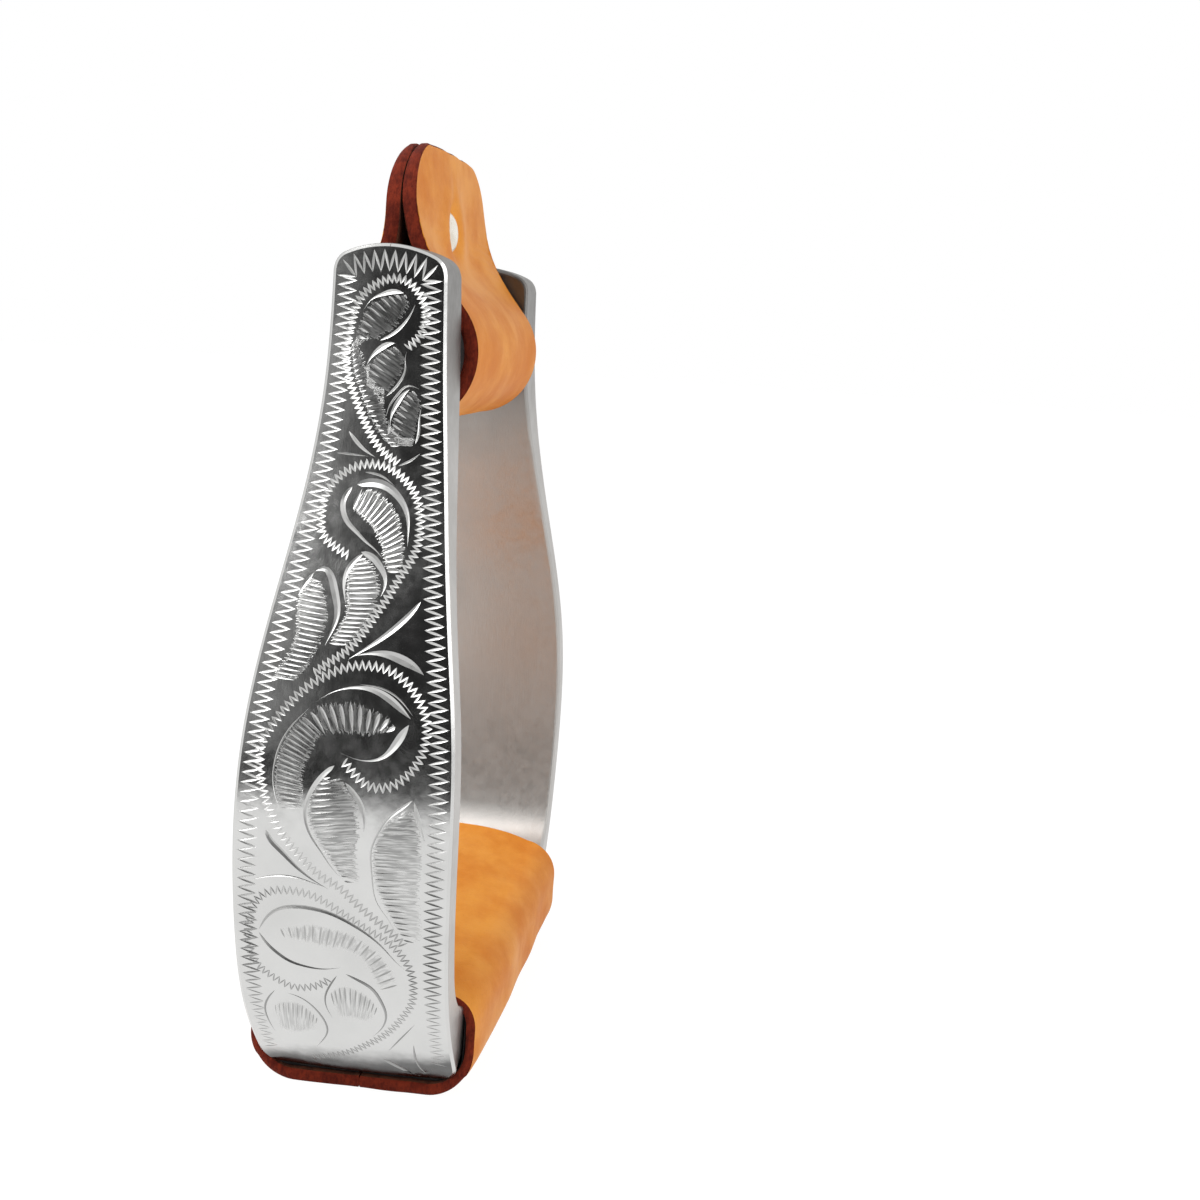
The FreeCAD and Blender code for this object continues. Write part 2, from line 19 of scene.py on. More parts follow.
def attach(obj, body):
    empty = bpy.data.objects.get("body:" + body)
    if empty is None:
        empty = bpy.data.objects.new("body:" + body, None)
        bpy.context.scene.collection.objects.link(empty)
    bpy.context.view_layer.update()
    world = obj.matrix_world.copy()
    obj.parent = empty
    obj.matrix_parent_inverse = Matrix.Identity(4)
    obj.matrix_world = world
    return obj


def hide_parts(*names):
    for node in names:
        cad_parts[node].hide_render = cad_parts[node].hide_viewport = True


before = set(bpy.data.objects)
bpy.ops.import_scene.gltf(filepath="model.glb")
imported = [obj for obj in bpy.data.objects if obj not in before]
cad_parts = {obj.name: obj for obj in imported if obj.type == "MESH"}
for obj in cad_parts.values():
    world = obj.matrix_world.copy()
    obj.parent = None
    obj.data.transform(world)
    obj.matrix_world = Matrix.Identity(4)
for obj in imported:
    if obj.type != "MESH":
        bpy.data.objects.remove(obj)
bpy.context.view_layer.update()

MM = 0.001
PHOTO_SIZE = 1200
EDGE_ROUND = 0.45
FOOT_BREADTH = 0.965
CAST_SHARP, ENGRAVED_SHARP, SLEEVE_SHARP, RIVET_SHARP, LEATHER_SHARP = 25.0, 14.0, 35.0, 50.0, 60.0

Point = tuple[float, float]
Route = tuple[Point, ...]

log = logging.getLogger("stirrup")


class CastFinish(Enum):
    """Places of the casting's finishes in its material slots."""

    POLISHED = 0
    SATIN = 1
    BEVEL = 2
    CUT = 3


class LeatherFinish(Enum):
    """Places of a leather piece's finishes in its material slots."""

    GRAIN = 0
    FLESH = 1
    EDGE = 2


class Side(Enum):
    """The two sides of the stirrup along X."""

    ENGRAVED = -1
    PLAIN = 1


# Curves and meshes


def smooth_curve(points: Sequence[Sequence[float]], count: int) -> np.ndarray:
    """Spread points evenly on a smooth curve through the given ones.

    Args:
        points: places that the curve passes.
        count: number of points to return.

    Returns:
        One row for each point.
    """
    given = np.asarray(points, float)
    steps = np.linalg.norm(np.diff(given, axis=0), axis=1)
    knots = np.concatenate(([0.0], np.cumsum(steps)))
    total = len(given)
    system = np.eye(total)
    bends = np.zeros_like(given)
    for row in range(1, total - 1):
        before, after = steps[row - 1], steps[row]
        system[row, row - 1:row + 2] = before, 2 * (before + after), after
        slope = (given[row + 1] - given[row]) / after
        bends[row] = 6 * (slope - (given[row] - given[row - 1]) / before)
    curvature = np.linalg.solve(system, bends)
    at = np.linspace(0, knots[-1], count)
    span = np.clip(np.searchsorted(knots, at, side="right") - 1, 0, total - 2)
    width = steps[span][:, None]
    left = (knots[span + 1] - at)[:, None] / width
    right = 1 - left
    bow = (left**3 - left) * curvature[span] + (right**3 - right) * curvature[span + 1]
    return left * given[span] + right * given[span + 1] + bow * width**2 / 6


def evenly(line: np.ndarray, count: int) -> np.ndarray:
    """Spread points evenly along a polyline.

    Args:
        line: the polyline, one row for each corner.
        count: number of points to return.

    Returns:
        The points, the first and the last being the line's ends.
    """
    run = run_along(line)
    at = np.linspace(0, run[-1], count)
    return np.stack([np.interp(at, run, column) for column in line.T], axis=1)


def arc_points(centre: Point, radius: float, start: float, end: float, count: int) -> np.ndarray:
    """Return points on a circular arc, with its angles in degrees."""
    angles = np.radians(np.linspace(start, end, count))
    return np.array(centre) + radius * np.stack([np.cos(angles), np.sin(angles)], axis=1)


def run_along(line: np.ndarray) -> np.ndarray:
    """Return the distance along a polyline at each of its corners."""
    return np.concatenate(([0.0], np.cumsum(np.linalg.norm(np.diff(line, axis=0), axis=1))))


def square_to(line: np.ndarray) -> np.ndarray:
    """Return the unit directions square to a polyline, on its left."""
    ahead = np.gradient(line, axis=0)
    aside = np.stack([-ahead[:, 1], ahead[:, 0]], axis=1)
    return aside / np.linalg.norm(aside, axis=1)[:, None]


def gathered(half_length: float, count: int, gather: float) -> np.ndarray:
    """Return places along a piece, which stand closer together at its ends."""
    even = np.linspace(0, 1, count + 1)
    return half_length * (2 * (even - gather * np.sin(2 * np.pi * even) / (2 * np.pi)) - 1)


def cut_round(share: float) -> float:
    """Return how far a cut edge draws back at a share of the thickness, in millimetres."""
    return EDGE_ROUND * (1 - math.sqrt(max(0.0, 1 - (2 * share - 1)**4)))


def smooth_share(value: float, start: float, end: float) -> float:
    """Return 0 at a start and 1 at an end, with a smooth change between."""
    share = min(1.0, max(0.0, (value - start) / (end - start)))
    return share**2 * (3 - 2 * share)


def outward(mesh: bmesh.types.BMesh) -> bmesh.types.BMesh:
    """Return a closed mesh with its faces pointing outwards, by the sign of its volume."""
    if mesh.calc_volume(signed=True) < 0:
        bmesh.ops.reverse_faces(mesh, faces=mesh.faces)
    return mesh


def woven(rings: np.ndarray, finish: Callable[[int, int], int]) -> bmesh.types.BMesh:
    """Skin a row of closed rings with one grid and close both ends.

    Args:
        rings: places in millimetres, by ring, point and axis.
        finish: gives the material slot of the face after a ring and a point.

    Returns:
        The closed mesh in metres.
    """
    rows, columns = rings.shape[0] - 1, rings.shape[1]
    mesh = bmesh.new()
    bmesh.ops.create_grid(mesh, x_segments=columns, y_segments=rows, size=0.5)
    for face in mesh.faces:
        middle = face.calc_center_median()
        face.material_index = finish(int((middle.y + 0.5) * rows), int((middle.x + 0.5) * columns))
    for vert in mesh.verts:
        column = round((vert.co.x + 0.5) * columns) % columns
        vert.co = Vector(rings[round((vert.co.y + 0.5) * rows), column]) * MM
    bmesh.ops.remove_doubles(mesh, verts=mesh.verts, dist=1e-7)
    bmesh.ops.holes_fill(mesh, edges=[edge for edge in mesh.edges if edge.is_boundary])
    bmesh.ops.recalc_face_normals(mesh, faces=mesh.faces)
    return outward(mesh)


def slab(cuts: tuple[int, int, int], place: Callable[[int, int, int], Vector]) -> bmesh.types.BMesh:
    """Divide a box and carry its whole skin to its place, as leather is bent from a flat piece.

    Args:
        cuts: divisions along the bend, through the thickness and along the piece.
        place: gives the place in millimetres of a corner by its three counts.

    Returns:
        The closed mesh in metres, with the finish of the grain, flesh or cut edge on each face.
    """
    mesh = bmesh.new()
    bmesh.ops.create_cube(mesh, size=1.0)
    for axis, count in enumerate(cuts):
        along = [edge for edge in mesh.edges
                 if abs(edge.verts[0].co[axis] - edge.verts[1].co[axis]) > 0.9]
        bmesh.ops.subdivide_edges(mesh, edges=along, cuts=count - 1, use_grid_fill=True)
    for face in mesh.faces:
        level = face.calc_center_median().y
        face.material_index = LeatherFinish.EDGE.value
        if abs(level) > 0.499:
            skin = LeatherFinish.GRAIN if level > 0 else LeatherFinish.FLESH
            face.material_index = skin.value
    for vert in mesh.verts:
        counts = [round((vert.co[axis] + 0.5) * cuts[axis]) for axis in range(3)]
        vert.co = place(*counts) * MM
    return outward(mesh)


def finished(mesh: bmesh.types.BMesh, name: str, materials: Sequence[bpy.types.Material],
             sharp: float) -> bpy.types.Object:
    """Turn a mesh into a smooth-shaded object of the scene.

    Args:
        mesh: the mesh, which is freed.
        name: the piece's name.
        materials: the finishes, in the order of their slots.
        sharp: angle in degrees above which an edge stays sharp.

    Returns:
        The object, at the origin.
    """
    data = bpy.data.meshes.new(name)
    mesh.to_mesh(data)
    mesh.free()
    for material in materials:
        data.materials.append(material)
    data.shade_smooth()
    data.set_sharp_from_angle(angle=math.radians(sharp))
    piece = bpy.data.objects.new(name, data)
    bpy.context.scene.collection.objects.link(piece)
    return piece


def spindle_blank(sides: int, pieces: int, finish: int = 0) -> bpy.types.Mesh:
    """Return a unit sphere as a mesh to copy: sides about its axis, pieces along it."""
    sphere = bmesh.new()
    bmesh.ops.create_uvsphere(sphere, u_segments=sides, v_segments=pieces, radius=1.0)
    for face in sphere.faces:
        face.material_index = finish
    blank = bpy.data.meshes.new("blank")
    sphere.to_mesh(blank)
    sphere.free()
    return blank


def ripple(place: Sequence[float], spacing: float, seed: float = 0.0) -> float:
    """Return an even, smooth unevenness between about -1 and 1 at a place in millimetres."""
    return noise.noise(Vector(place) / spacing + Vector((seed, seed * 1.7, -seed)))


# Finishes


class NodeBench:
    """A node tree and the few steps that its nodes are made with."""

    def __init__(self, tree: bpy.types.NodeTree) -> None:
        """Take the tree to work on."""
        self.tree = tree

    def feed(self, socket: bpy.types.NodeSocket, value: object) -> None:
        """Link an output to a socket, or set the socket's own value."""
        if isinstance(value, bpy.types.NodeSocket):
            self.tree.links.new(value, socket)
        else:
            socket.default_value = value

    def node(self, kind: str, inputs: dict | None = None, **settings: object) -> bpy.types.Node:
        """Add a node, with values or links for its inputs and values for its settings."""
        made = self.tree.nodes.new(kind)
        for key, value in settings.items():
            setattr(made, key, value)
        for key, value in (inputs or {}).items():
            self.feed(made.inputs[key], value)
        return made

    def between(self, value: bpy.types.NodeSocket, low: float, high: float,
                start: float = 0.0, end: float = 1.0) -> bpy.types.NodeSocket:
        """Return the value carried smoothly from one range to another."""
        made = self.node("ShaderNodeMapRange", {"Value": value, "From Min": low, "From Max": high,
                                                "To Min": start, "To Max": end},
                         interpolation_type="SMOOTHSTEP")
        return made.outputs[0]

    def reckon(self, kind: str, first: object, second: object) -> bpy.types.NodeSocket:
        """Return a sum, product or other operation on two values."""
        return self.node("ShaderNodeMath", {0: first, 1: second}, operation=kind).outputs[0]

    def blend(self, share: object, first: object, second: object) -> bpy.types.NodeSocket:
        """Return a colour between two colours."""
        made = self.node("ShaderNodeMix", {0: share}, data_type="RGBA")
        self.feed(made.inputs[6], first)
        self.feed(made.inputs[7], second)
        return made.outputs[2]


class MaterialBench(NodeBench):
    """A new material with one Principled shader, and patterns on the piece's own place."""

    def __init__(self, name: str) -> None:
        """Start a material."""
        self.material = bpy.data.materials.new(name)
        self.material.use_nodes = True
        super().__init__(self.material.node_tree)
        self.shader = self.tree.nodes["Principled BSDF"]
        self.place = self.node("ShaderNodeTexCoord").outputs["Object"]

    def stretched(self, scale: tuple[float, float, float]) -> bpy.types.NodeSocket:
        """Return the place scaled along each axis."""
        return self.node("ShaderNodeMapping", {"Vector": self.place, "Scale": scale}).outputs[0]

    def noise(self, scale: float, detail: float = 3.0, rough: float = 0.55,
              vector: bpy.types.NodeSocket | None = None) -> bpy.types.NodeSocket:
        """Return a noise value with a number of cells to the metre."""
        made = self.node("ShaderNodeTexNoise", {"Vector": vector or self.place, "Scale": scale,
                                                "Detail": detail, "Roughness": rough})
        return made.outputs[0]

    def relief(self, height: bpy.types.NodeSocket, depth: float,
               over: bpy.types.NodeSocket | None = None) -> bpy.types.NodeSocket:
        """Return a normal bent by a height, which is at most the depth in millimetres."""
        made = self.node("ShaderNodeBump", {"Height": height, "Distance": depth * MM,
                                            "Strength": 1.0})
        if over:
            self.feed(made.inputs["Normal"], over)
        return made.outputs[0]

    def set(self, **values: object) -> None:
        """Set or link the shader's inputs by their names."""
        for key, value in values.items():
            self.feed(self.shader.inputs[key.replace("_", " ")], value)


Colour = tuple[float, float, float, float]


@dataclass(frozen=True)
class CastMetal:
    """Cast aluminium, from mirror polish to satin."""

    name: str
    colour: Colour
    roughness: float
    spread: float
    brushing: float
    worked: bool = False
    # Painted dark reflection: the level in millimetres where it is full, the level where it ends
    # and the share of the colour left where it is full; lean tilts its band across the leg.
    painted_dark_reflection: tuple[float, float, float] | None = None
    lean: float = 0.11

    def shade(self, share: float) -> Colour:
        """Return the metal's colour darkened to a share."""
        red, green, blue, full = self.colour
        return red * share, green * share, blue * share, full

    def build(self) -> bpy.types.Material:
        """Make the material: cloudy polish, brushing along the leg, a few fine scratches and any
        painted dark reflection.
        """
        bench = MaterialBench(self.name)
        clouds = bench.noise(55.0, 4.0, 0.6)
        fine = bench.noise(420.0, 3.0, 0.6)
        lines = bench.noise(1.0, 2.0, 0.7, bench.stretched((2600.0, 2600.0, 45.0)))
        rough = bench.between(clouds, 0.3, 0.7, self.roughness - self.spread,
                              self.roughness + self.spread)
        rough = bench.reckon("ADD", rough, bench.between(fine, 0.35, 0.65, -0.02, 0.03))
        colour = bench.blend(bench.between(clouds, 0.3, 0.75, 0.0, 0.5), self.colour,
                             self.shade(0.86))
        # Painted dark reflection: the colour is darkened over a band of height, tilted a little
        # across the leg and made uneven by the clouds. It stands in for the dim room and floor that
        # the metal mirrors.
        if self.painted_dark_reflection:
            low, high, share = self.painted_dark_reflection
            across, level = bench.node("ShaderNodeSeparateXYZ", {0: bench.place}).outputs[1:]
            tilted = bench.reckon("ADD", level, bench.reckon("MULTIPLY", across, self.lean))
            uneven = bench.reckon("ADD", tilted, bench.between(clouds, 0.3, 0.7, -0.0015, 0.0015))
            colour = bench.blend(bench.between(uneven, low * MM, high * MM, 0.0, 1.0),
                                 self.shade(share), colour)
        normal = bench.relief(clouds, 0.10)
        normal = bench.relief(fine, 0.012, normal)
        normal = bench.relief(lines, self.brushing, normal)
        if self.worked:
            depth = bench.node("ShaderNodeAttribute", attribute_name="leaf").outputs["Fac"]
            hatch = bench.node("ShaderNodeAttribute", attribute_name="hatch").outputs["Vector"]
            streaks = bench.noise(1.0, 3.0, 0.6, hatch)
            ragged = bench.reckon("ADD", depth, bench.between(streaks, 0.35, 0.65, -0.75, 0.35))
            mark = bench.between(ragged, -0.15, 0.25, 0.0, 1.0)
            rough = bench.reckon("ADD", rough, bench.reckon("MULTIPLY", mark, 0.13))
            normal = bench.relief(bench.reckon("MULTIPLY", streaks, mark), 0.03, normal)
            # The streaks are the engraving's own shading cuts. Their tone is painted shade by
            # height: lighter near the foot and darker higher up, standing in for the room that the
            # polish mirrors.
            height = bench.node("ShaderNodeSeparateXYZ", {0: bench.place}).outputs[2]
            deep = bench.blend(bench.between(height, 0.040, 0.075), self.shade(0.74),
                               self.shade(0.42))
            shaded = bench.blend(bench.between(streaks, 0.40, 0.62), deep, self.shade(1.0))
            colour = bench.blend(mark, colour, shaded)
        bench.set(Base_Color=colour, Metallic=1.0, Roughness=rough, Normal=normal)
        return bench.material


@dataclass(frozen=True)
class Leather:
    """Smooth tan harness leather, on its grain side."""

    name: str = "tan_grain"
    light: Colour = (0.80, 0.320, 0.044, 1.0)
    deep: Colour = (0.66, 0.200, 0.018, 1.0)
    roughness: float = 0.50

    def build(self) -> bpy.types.Material:
        """Make the material: uneven dye, fine grain with pores and a waxed surface."""
        bench = MaterialBench(self.name)
        patches = bench.noise(38.0, 5.0, 0.62)
        streaks = bench.noise(1.0, 4.0, 0.6, bench.stretched((70.0, 130.0, 130.0)))
        dye = bench.reckon("ADD", bench.reckon("MULTIPLY", patches, 0.7),
                           bench.reckon("MULTIPLY", streaks, 0.3))
        colour = bench.blend(bench.between(dye, 0.36, 0.66, 0.0, 1.0), self.light, self.deep)
        cells = {"Vector": bench.place, "Scale": 1500.0}
        pores = bench.node("ShaderNodeTexVoronoi", cells).outputs[0]
        grain = bench.noise(2600.0, 3.0, 0.6)
        speck = bench.between(pores, 0.05, 0.25, 0.82, 1.0)
        tone = bench.node("ShaderNodeCombineColor", {0: speck, 1: speck, 2: speck}).outputs[0]
        made = bench.node("ShaderNodeMix", {0: 1.0}, data_type="RGBA", blend_type="MULTIPLY")
        bench.feed(made.inputs[6], colour)
        bench.feed(made.inputs[7], tone)
        normal = bench.relief(bench.noise(190.0, 3.0), 0.09)
        normal = bench.relief(pores, 0.035, normal)
        normal = bench.relief(grain, 0.02, normal)
        rough = bench.between(patches, 0.3, 0.7, self.roughness - 0.05, self.roughness + 0.07)
        bench.set(Base_Color=made.outputs[2], Roughness=rough, Normal=normal,
                  Specular_IOR_Level=0.14)
        return bench.material


@dataclass(frozen=True)
class RawLeather:
    """Cut edge or flesh side of the leather: dark, dry and fibrous."""

    name: str
    light: Colour
    deep: Colour
    fibre: tuple[float, float, float]

    def build(self) -> bpy.types.Material:
        """Make the material: fibres in layers over blotches of dye."""
        bench = MaterialBench(self.name)
        blotches = bench.noise(260.0, 4.0, 0.65)
        fibres = bench.noise(1.0, 4.0, 0.7, bench.stretched(self.fibre))
        share = bench.reckon("ADD", bench.reckon("MULTIPLY", blotches, 0.5),
                             bench.reckon("MULTIPLY", fibres, 0.5))
        colour = bench.blend(bench.between(share, 0.36, 0.64, 0.0, 1.0), self.deep, self.light)
        normal = bench.relief(fibres, 0.16)
        normal = bench.relief(bench.noise(3200.0), 0.06, normal)
        bench.set(Base_Color=colour, Roughness=0.82, Normal=normal, Specular_IOR_Level=0.10,
                  Sheen_Weight=0.04, Sheen_Roughness=0.5)
        return bench.material


@dataclass(frozen=True)
class PlainFinish:
    """A finish of one colour with its own mottling, relief and gloss."""

    name: str
    colour: Colour
    other: Colour
    metallic: float
    roughness: float
    grain: tuple[float, float, float]
    depth: float

    def build(self) -> bpy.types.Material:
        """Make the material from one mottling and one stretched grain."""
        bench = MaterialBench(self.name)
        mottle = bench.noise(300.0, 4.0, 0.6)
        grain = bench.noise(1.0, 3.0, 0.6, bench.stretched(self.grain))
        colour = bench.blend(bench.between(mottle, 0.35, 0.65, 0.0, 1.0), self.colour, self.other)
        rough = bench.between(grain, 0.3, 0.7, self.roughness - 0.05, self.roughness + 0.06)
        bench.set(Base_Color=colour, Metallic=self.metallic, Roughness=rough,
                  Normal=bench.relief(grain, self.depth))
        return bench.material


# Polished: a painted dark reflection darkens the foot below about 12 mm.
POLISHED = CastMetal("polished_aluminium", (0.64, 0.64, 0.63, 1.0), 0.16, 0.04, 0.004, worked=True,
                     painted_dark_reflection=(6.5, 12.5, 0.14))
# Satin: a painted dark reflection darkens the faces above about 116 mm, towards the tops of the
# legs.
SATIN = CastMetal("satin_aluminium", (0.47, 0.455, 0.435, 1.0), 0.40, 0.05, 0.030,
                  painted_dark_reflection=(180.0, 116.0, 0.33))
BEVEL = CastMetal("bevel_aluminium", (0.62, 0.62, 0.61, 1.0), 0.22, 0.04, 0.006)
# Bright cuts: a painted dark reflection dims the cuts low on the leg, below about 64 mm.
CUT = CastMetal("bright_cut_aluminium", (0.58, 0.58, 0.57, 1.0), 0.33, 0.04, 0.004,
                painted_dark_reflection=(30.0, 64.0, 0.60))
EDGE = RawLeather("cut_edge", (0.19, 0.024, 0.009, 1.0), (0.075, 0.008, 0.004, 1.0),
                  (500.0, 1500.0, 700.0))
FLESH = RawLeather("flesh_side", (0.19, 0.060, 0.025, 1.0), (0.055, 0.014, 0.007, 1.0),
                   (900.0, 900.0, 900.0))
NICKEL = PlainFinish("rivet_nickel", (0.86, 0.82, 0.74, 1.0), (0.74, 0.68, 0.58, 1.0), 1.0, 0.27,
                     (1400.0, 1400.0, 1400.0), 0.01)
STEEL = PlainFinish("bar_steel", (0.46, 0.46, 0.47, 1.0), (0.34, 0.33, 0.33, 1.0), 1.0, 0.32,
                    (2400.0, 300.0, 300.0), 0.015)
SLEEVE = PlainFinish("black_sleeve", (0.012, 0.012, 0.013, 1.0), (0.022, 0.021, 0.021, 1.0), 0.0,
                     0.52, (2600.0, 120.0, 120.0), 0.03)
PADDING = PlainFinish("black_padding", (0.011, 0.010, 0.010, 1.0), (0.026, 0.023, 0.022, 1.0), 0.0,
                      0.93, (1800.0, 1800.0, 1800.0), 0.18)
THREAD = PlainFinish("waxed_thread", (0.34, 0.20, 0.09, 1.0), (0.22, 0.11, 0.045, 1.0), 0.0, 0.55,
                     (900.0, 2600.0, 2600.0), 0.12)


@dataclass
class Workshop:
    """The finishes, each made once."""

    made: dict[str, bpy.types.Material] = field(default_factory=dict)

    def get(self, finish: CastMetal | Leather | RawLeather | PlainFinish) -> bpy.types.Material:
        """Return a finish's material and make it the first time."""
        if finish.name not in self.made:
            self.made[finish.name] = finish.build()
        return self.made[finish.name]

    def metal(self) -> list[bpy.types.Material]:
        """Return the casting's finishes in the order of their slots."""
        return [self.get(finish) for finish in (POLISHED, SATIN, BEVEL, CUT)]

    def leather(self) -> list[bpy.types.Material]:
        """Return the leather's finishes in the order of their slots."""
        return [self.get(finish) for finish in (Leather(), FLESH, EDGE)]


# Camera and light


@dataclass
class Viewpoint:
    """The photograph's camera, in the frame's own axes."""

    place: tuple[float, float, float] = (-374.70412, -82.02778, 161.99035)
    turn: tuple[float, float, float] = (80.868567, -3.666930, -82.896832)
    lens: float = 49.5
    sensor: float = 36.0

    def build(self) -> None:
        """Put the camera in the scene."""
        data = bpy.data.cameras.new("camera")
        data.lens = self.lens
        data.sensor_width = self.sensor
        data.clip_start = 0.01
        camera = bpy.data.objects.new("camera", data)
        camera.location = Vector(self.place) * MM
        camera.rotation_euler = [math.radians(angle) for angle in self.turn]
        bpy.context.scene.collection.objects.link(camera)
        bpy.context.scene.camera = camera

    def ray(self, pixel: Point) -> Vector:
        """Return the direction in which a point of the photograph lies."""
        reach = self.lens / self.sensor * PHOTO_SIZE
        across, down = pixel[0] - PHOTO_SIZE / 2, pixel[1] - PHOTO_SIZE / 2
        turn = Euler([math.radians(angle) for angle in self.turn]).to_matrix()
        return (turn @ Vector((across, -down, -reach))).normalized()


@dataclass
class Studio:
    """White room with a dim corner behind the camera, a pale floor and two soft lamps."""

    dim: float = 0.025
    ambient: float = 0.45
    dim_behind: Point = (-0.35, -0.70)
    dim_near: Point = (0.66, 0.24)
    dim_far: Point = (-0.85, -0.55)
    dim_height: Point = (0.92, 0.62)
    dim_floor: Point = (-0.62, -0.42)
    floor_level: float = 1.10
    floor_glow: float = 0.86
    floor_radius: float = 6.0

    def build(self) -> None:
        """Make the world, the floor and the lamps."""
        bpy.context.scene.view_settings.view_transform = "Standard"
        self.build_world()
        self.build_floor()
        self.lamp("key_lamp", (-420.0, 520.0, 760.0), 620.0, 7.0)
        self.lamp("fill_lamp", (-520.0, -760.0, 520.0), 700.0, 4.0)

    def build_world(self) -> None:
        """Show white behind the stirrup, and in the metal a room that is dim behind the camera."""
        world = bpy.data.worlds.new("studio")
        world.use_nodes = True
        bpy.context.scene.world = world
        bench = NodeBench(world.node_tree)
        bench.tree.nodes.clear()
        way = bench.node("ShaderNodeTexCoord").outputs["Generated"]
        x, y, z = bench.node("ShaderNodeSeparateXYZ", {0: way}).outputs
        near, far = bench.between(y, *self.dim_near), bench.between(y, *self.dim_far)
        dark = bench.reckon("MULTIPLY", bench.between(x, *self.dim_behind),
                            bench.reckon("MULTIPLY", near, far))
        dark = bench.reckon("MULTIPLY", dark, bench.between(z, *self.dim_height))
        level = bench.node("ShaderNodeMapRange", {"Value": dark, "To Min": 1.0, "To Max": self.dim})
        path = bench.node("ShaderNodeLightPath").outputs
        shiny = bench.reckon("MAXIMUM", path["Is Glossy Ray"], path["Is Transmission Ray"])
        seen = bench.node("ShaderNodeMix", {0: shiny, 2: self.ambient, 3: level.outputs[0]})
        strength = bench.node("ShaderNodeMix", {0: path["Is Camera Ray"], 2: seen.outputs[0],
                                                3: 1.0})
        shader = bench.node("ShaderNodeBackground", {"Color": (1.0, 1.0, 1.0, 1.0),
                                                     "Strength": strength.outputs[0]})
        bench.node("ShaderNodeOutputWorld", {"Surface": shader.outputs[0]})

    def build_floor(self) -> None:
        """Lay the pale floor, which keeps a soft shadow."""
        mesh = bmesh.new()
        bmesh.ops.create_circle(mesh, cap_ends=True, segments=96, radius=self.floor_radius)
        bench = MaterialBench("floor")
        bench.set(Base_Color=(0.93, 0.93, 0.93, 1.0), Roughness=0.9, Specular_IOR_Level=0.1)
        path = bench.node("ShaderNodeLightPath").outputs
        parts = bench.node("ShaderNodeSeparateXYZ", {0: bench.place}).outputs
        beyond = bench.between(parts[0], *self.dim_floor, 1.0, 0.0)
        behind = bench.reckon("MULTIPLY", path["Is Glossy Ray"], beyond)
        level = bench.between(behind, 0.0, 1.0, self.floor_level, self.dim)
        seen = bench.reckon("MAXIMUM", path["Is Camera Ray"], path["Is Glossy Ray"])
        share = bench.reckon("MAXIMUM", bench.reckon("MULTIPLY", seen, self.floor_glow), behind)
        glow = bench.node("ShaderNodeEmission", {"Color": (1.0, 1.0, 1.0, 1.0), "Strength": level})
        mix = bench.node("ShaderNodeMixShader", {0: share, 1: bench.shader.outputs[0],
                                                 2: glow.outputs[0]})
        bench.feed(bench.tree.nodes["Material Output"].inputs["Surface"], mix.outputs[0])
        floor = finished(mesh, "floor", [bench.material], 30.0)

    def lamp(self, name: str, place: tuple[float, float, float], size: float, power: float) -> None:
        """Hang a square soft lamp that looks at the middle of the stirrup."""
        data = bpy.data.lights.new(name, "AREA")
        data.size = size * MM
        data.energy = power
        lamp = bpy.data.objects.new(name, data)
        lamp.location = Vector(place) * MM
        aim = Vector((0.0, 0.0, 90.0 * MM)) - lamp.location
        lamp.rotation_euler = aim.to_track_quat("-Z", "Y").to_euler()
        bpy.context.scene.collection.objects.link(lamp)


# Frame


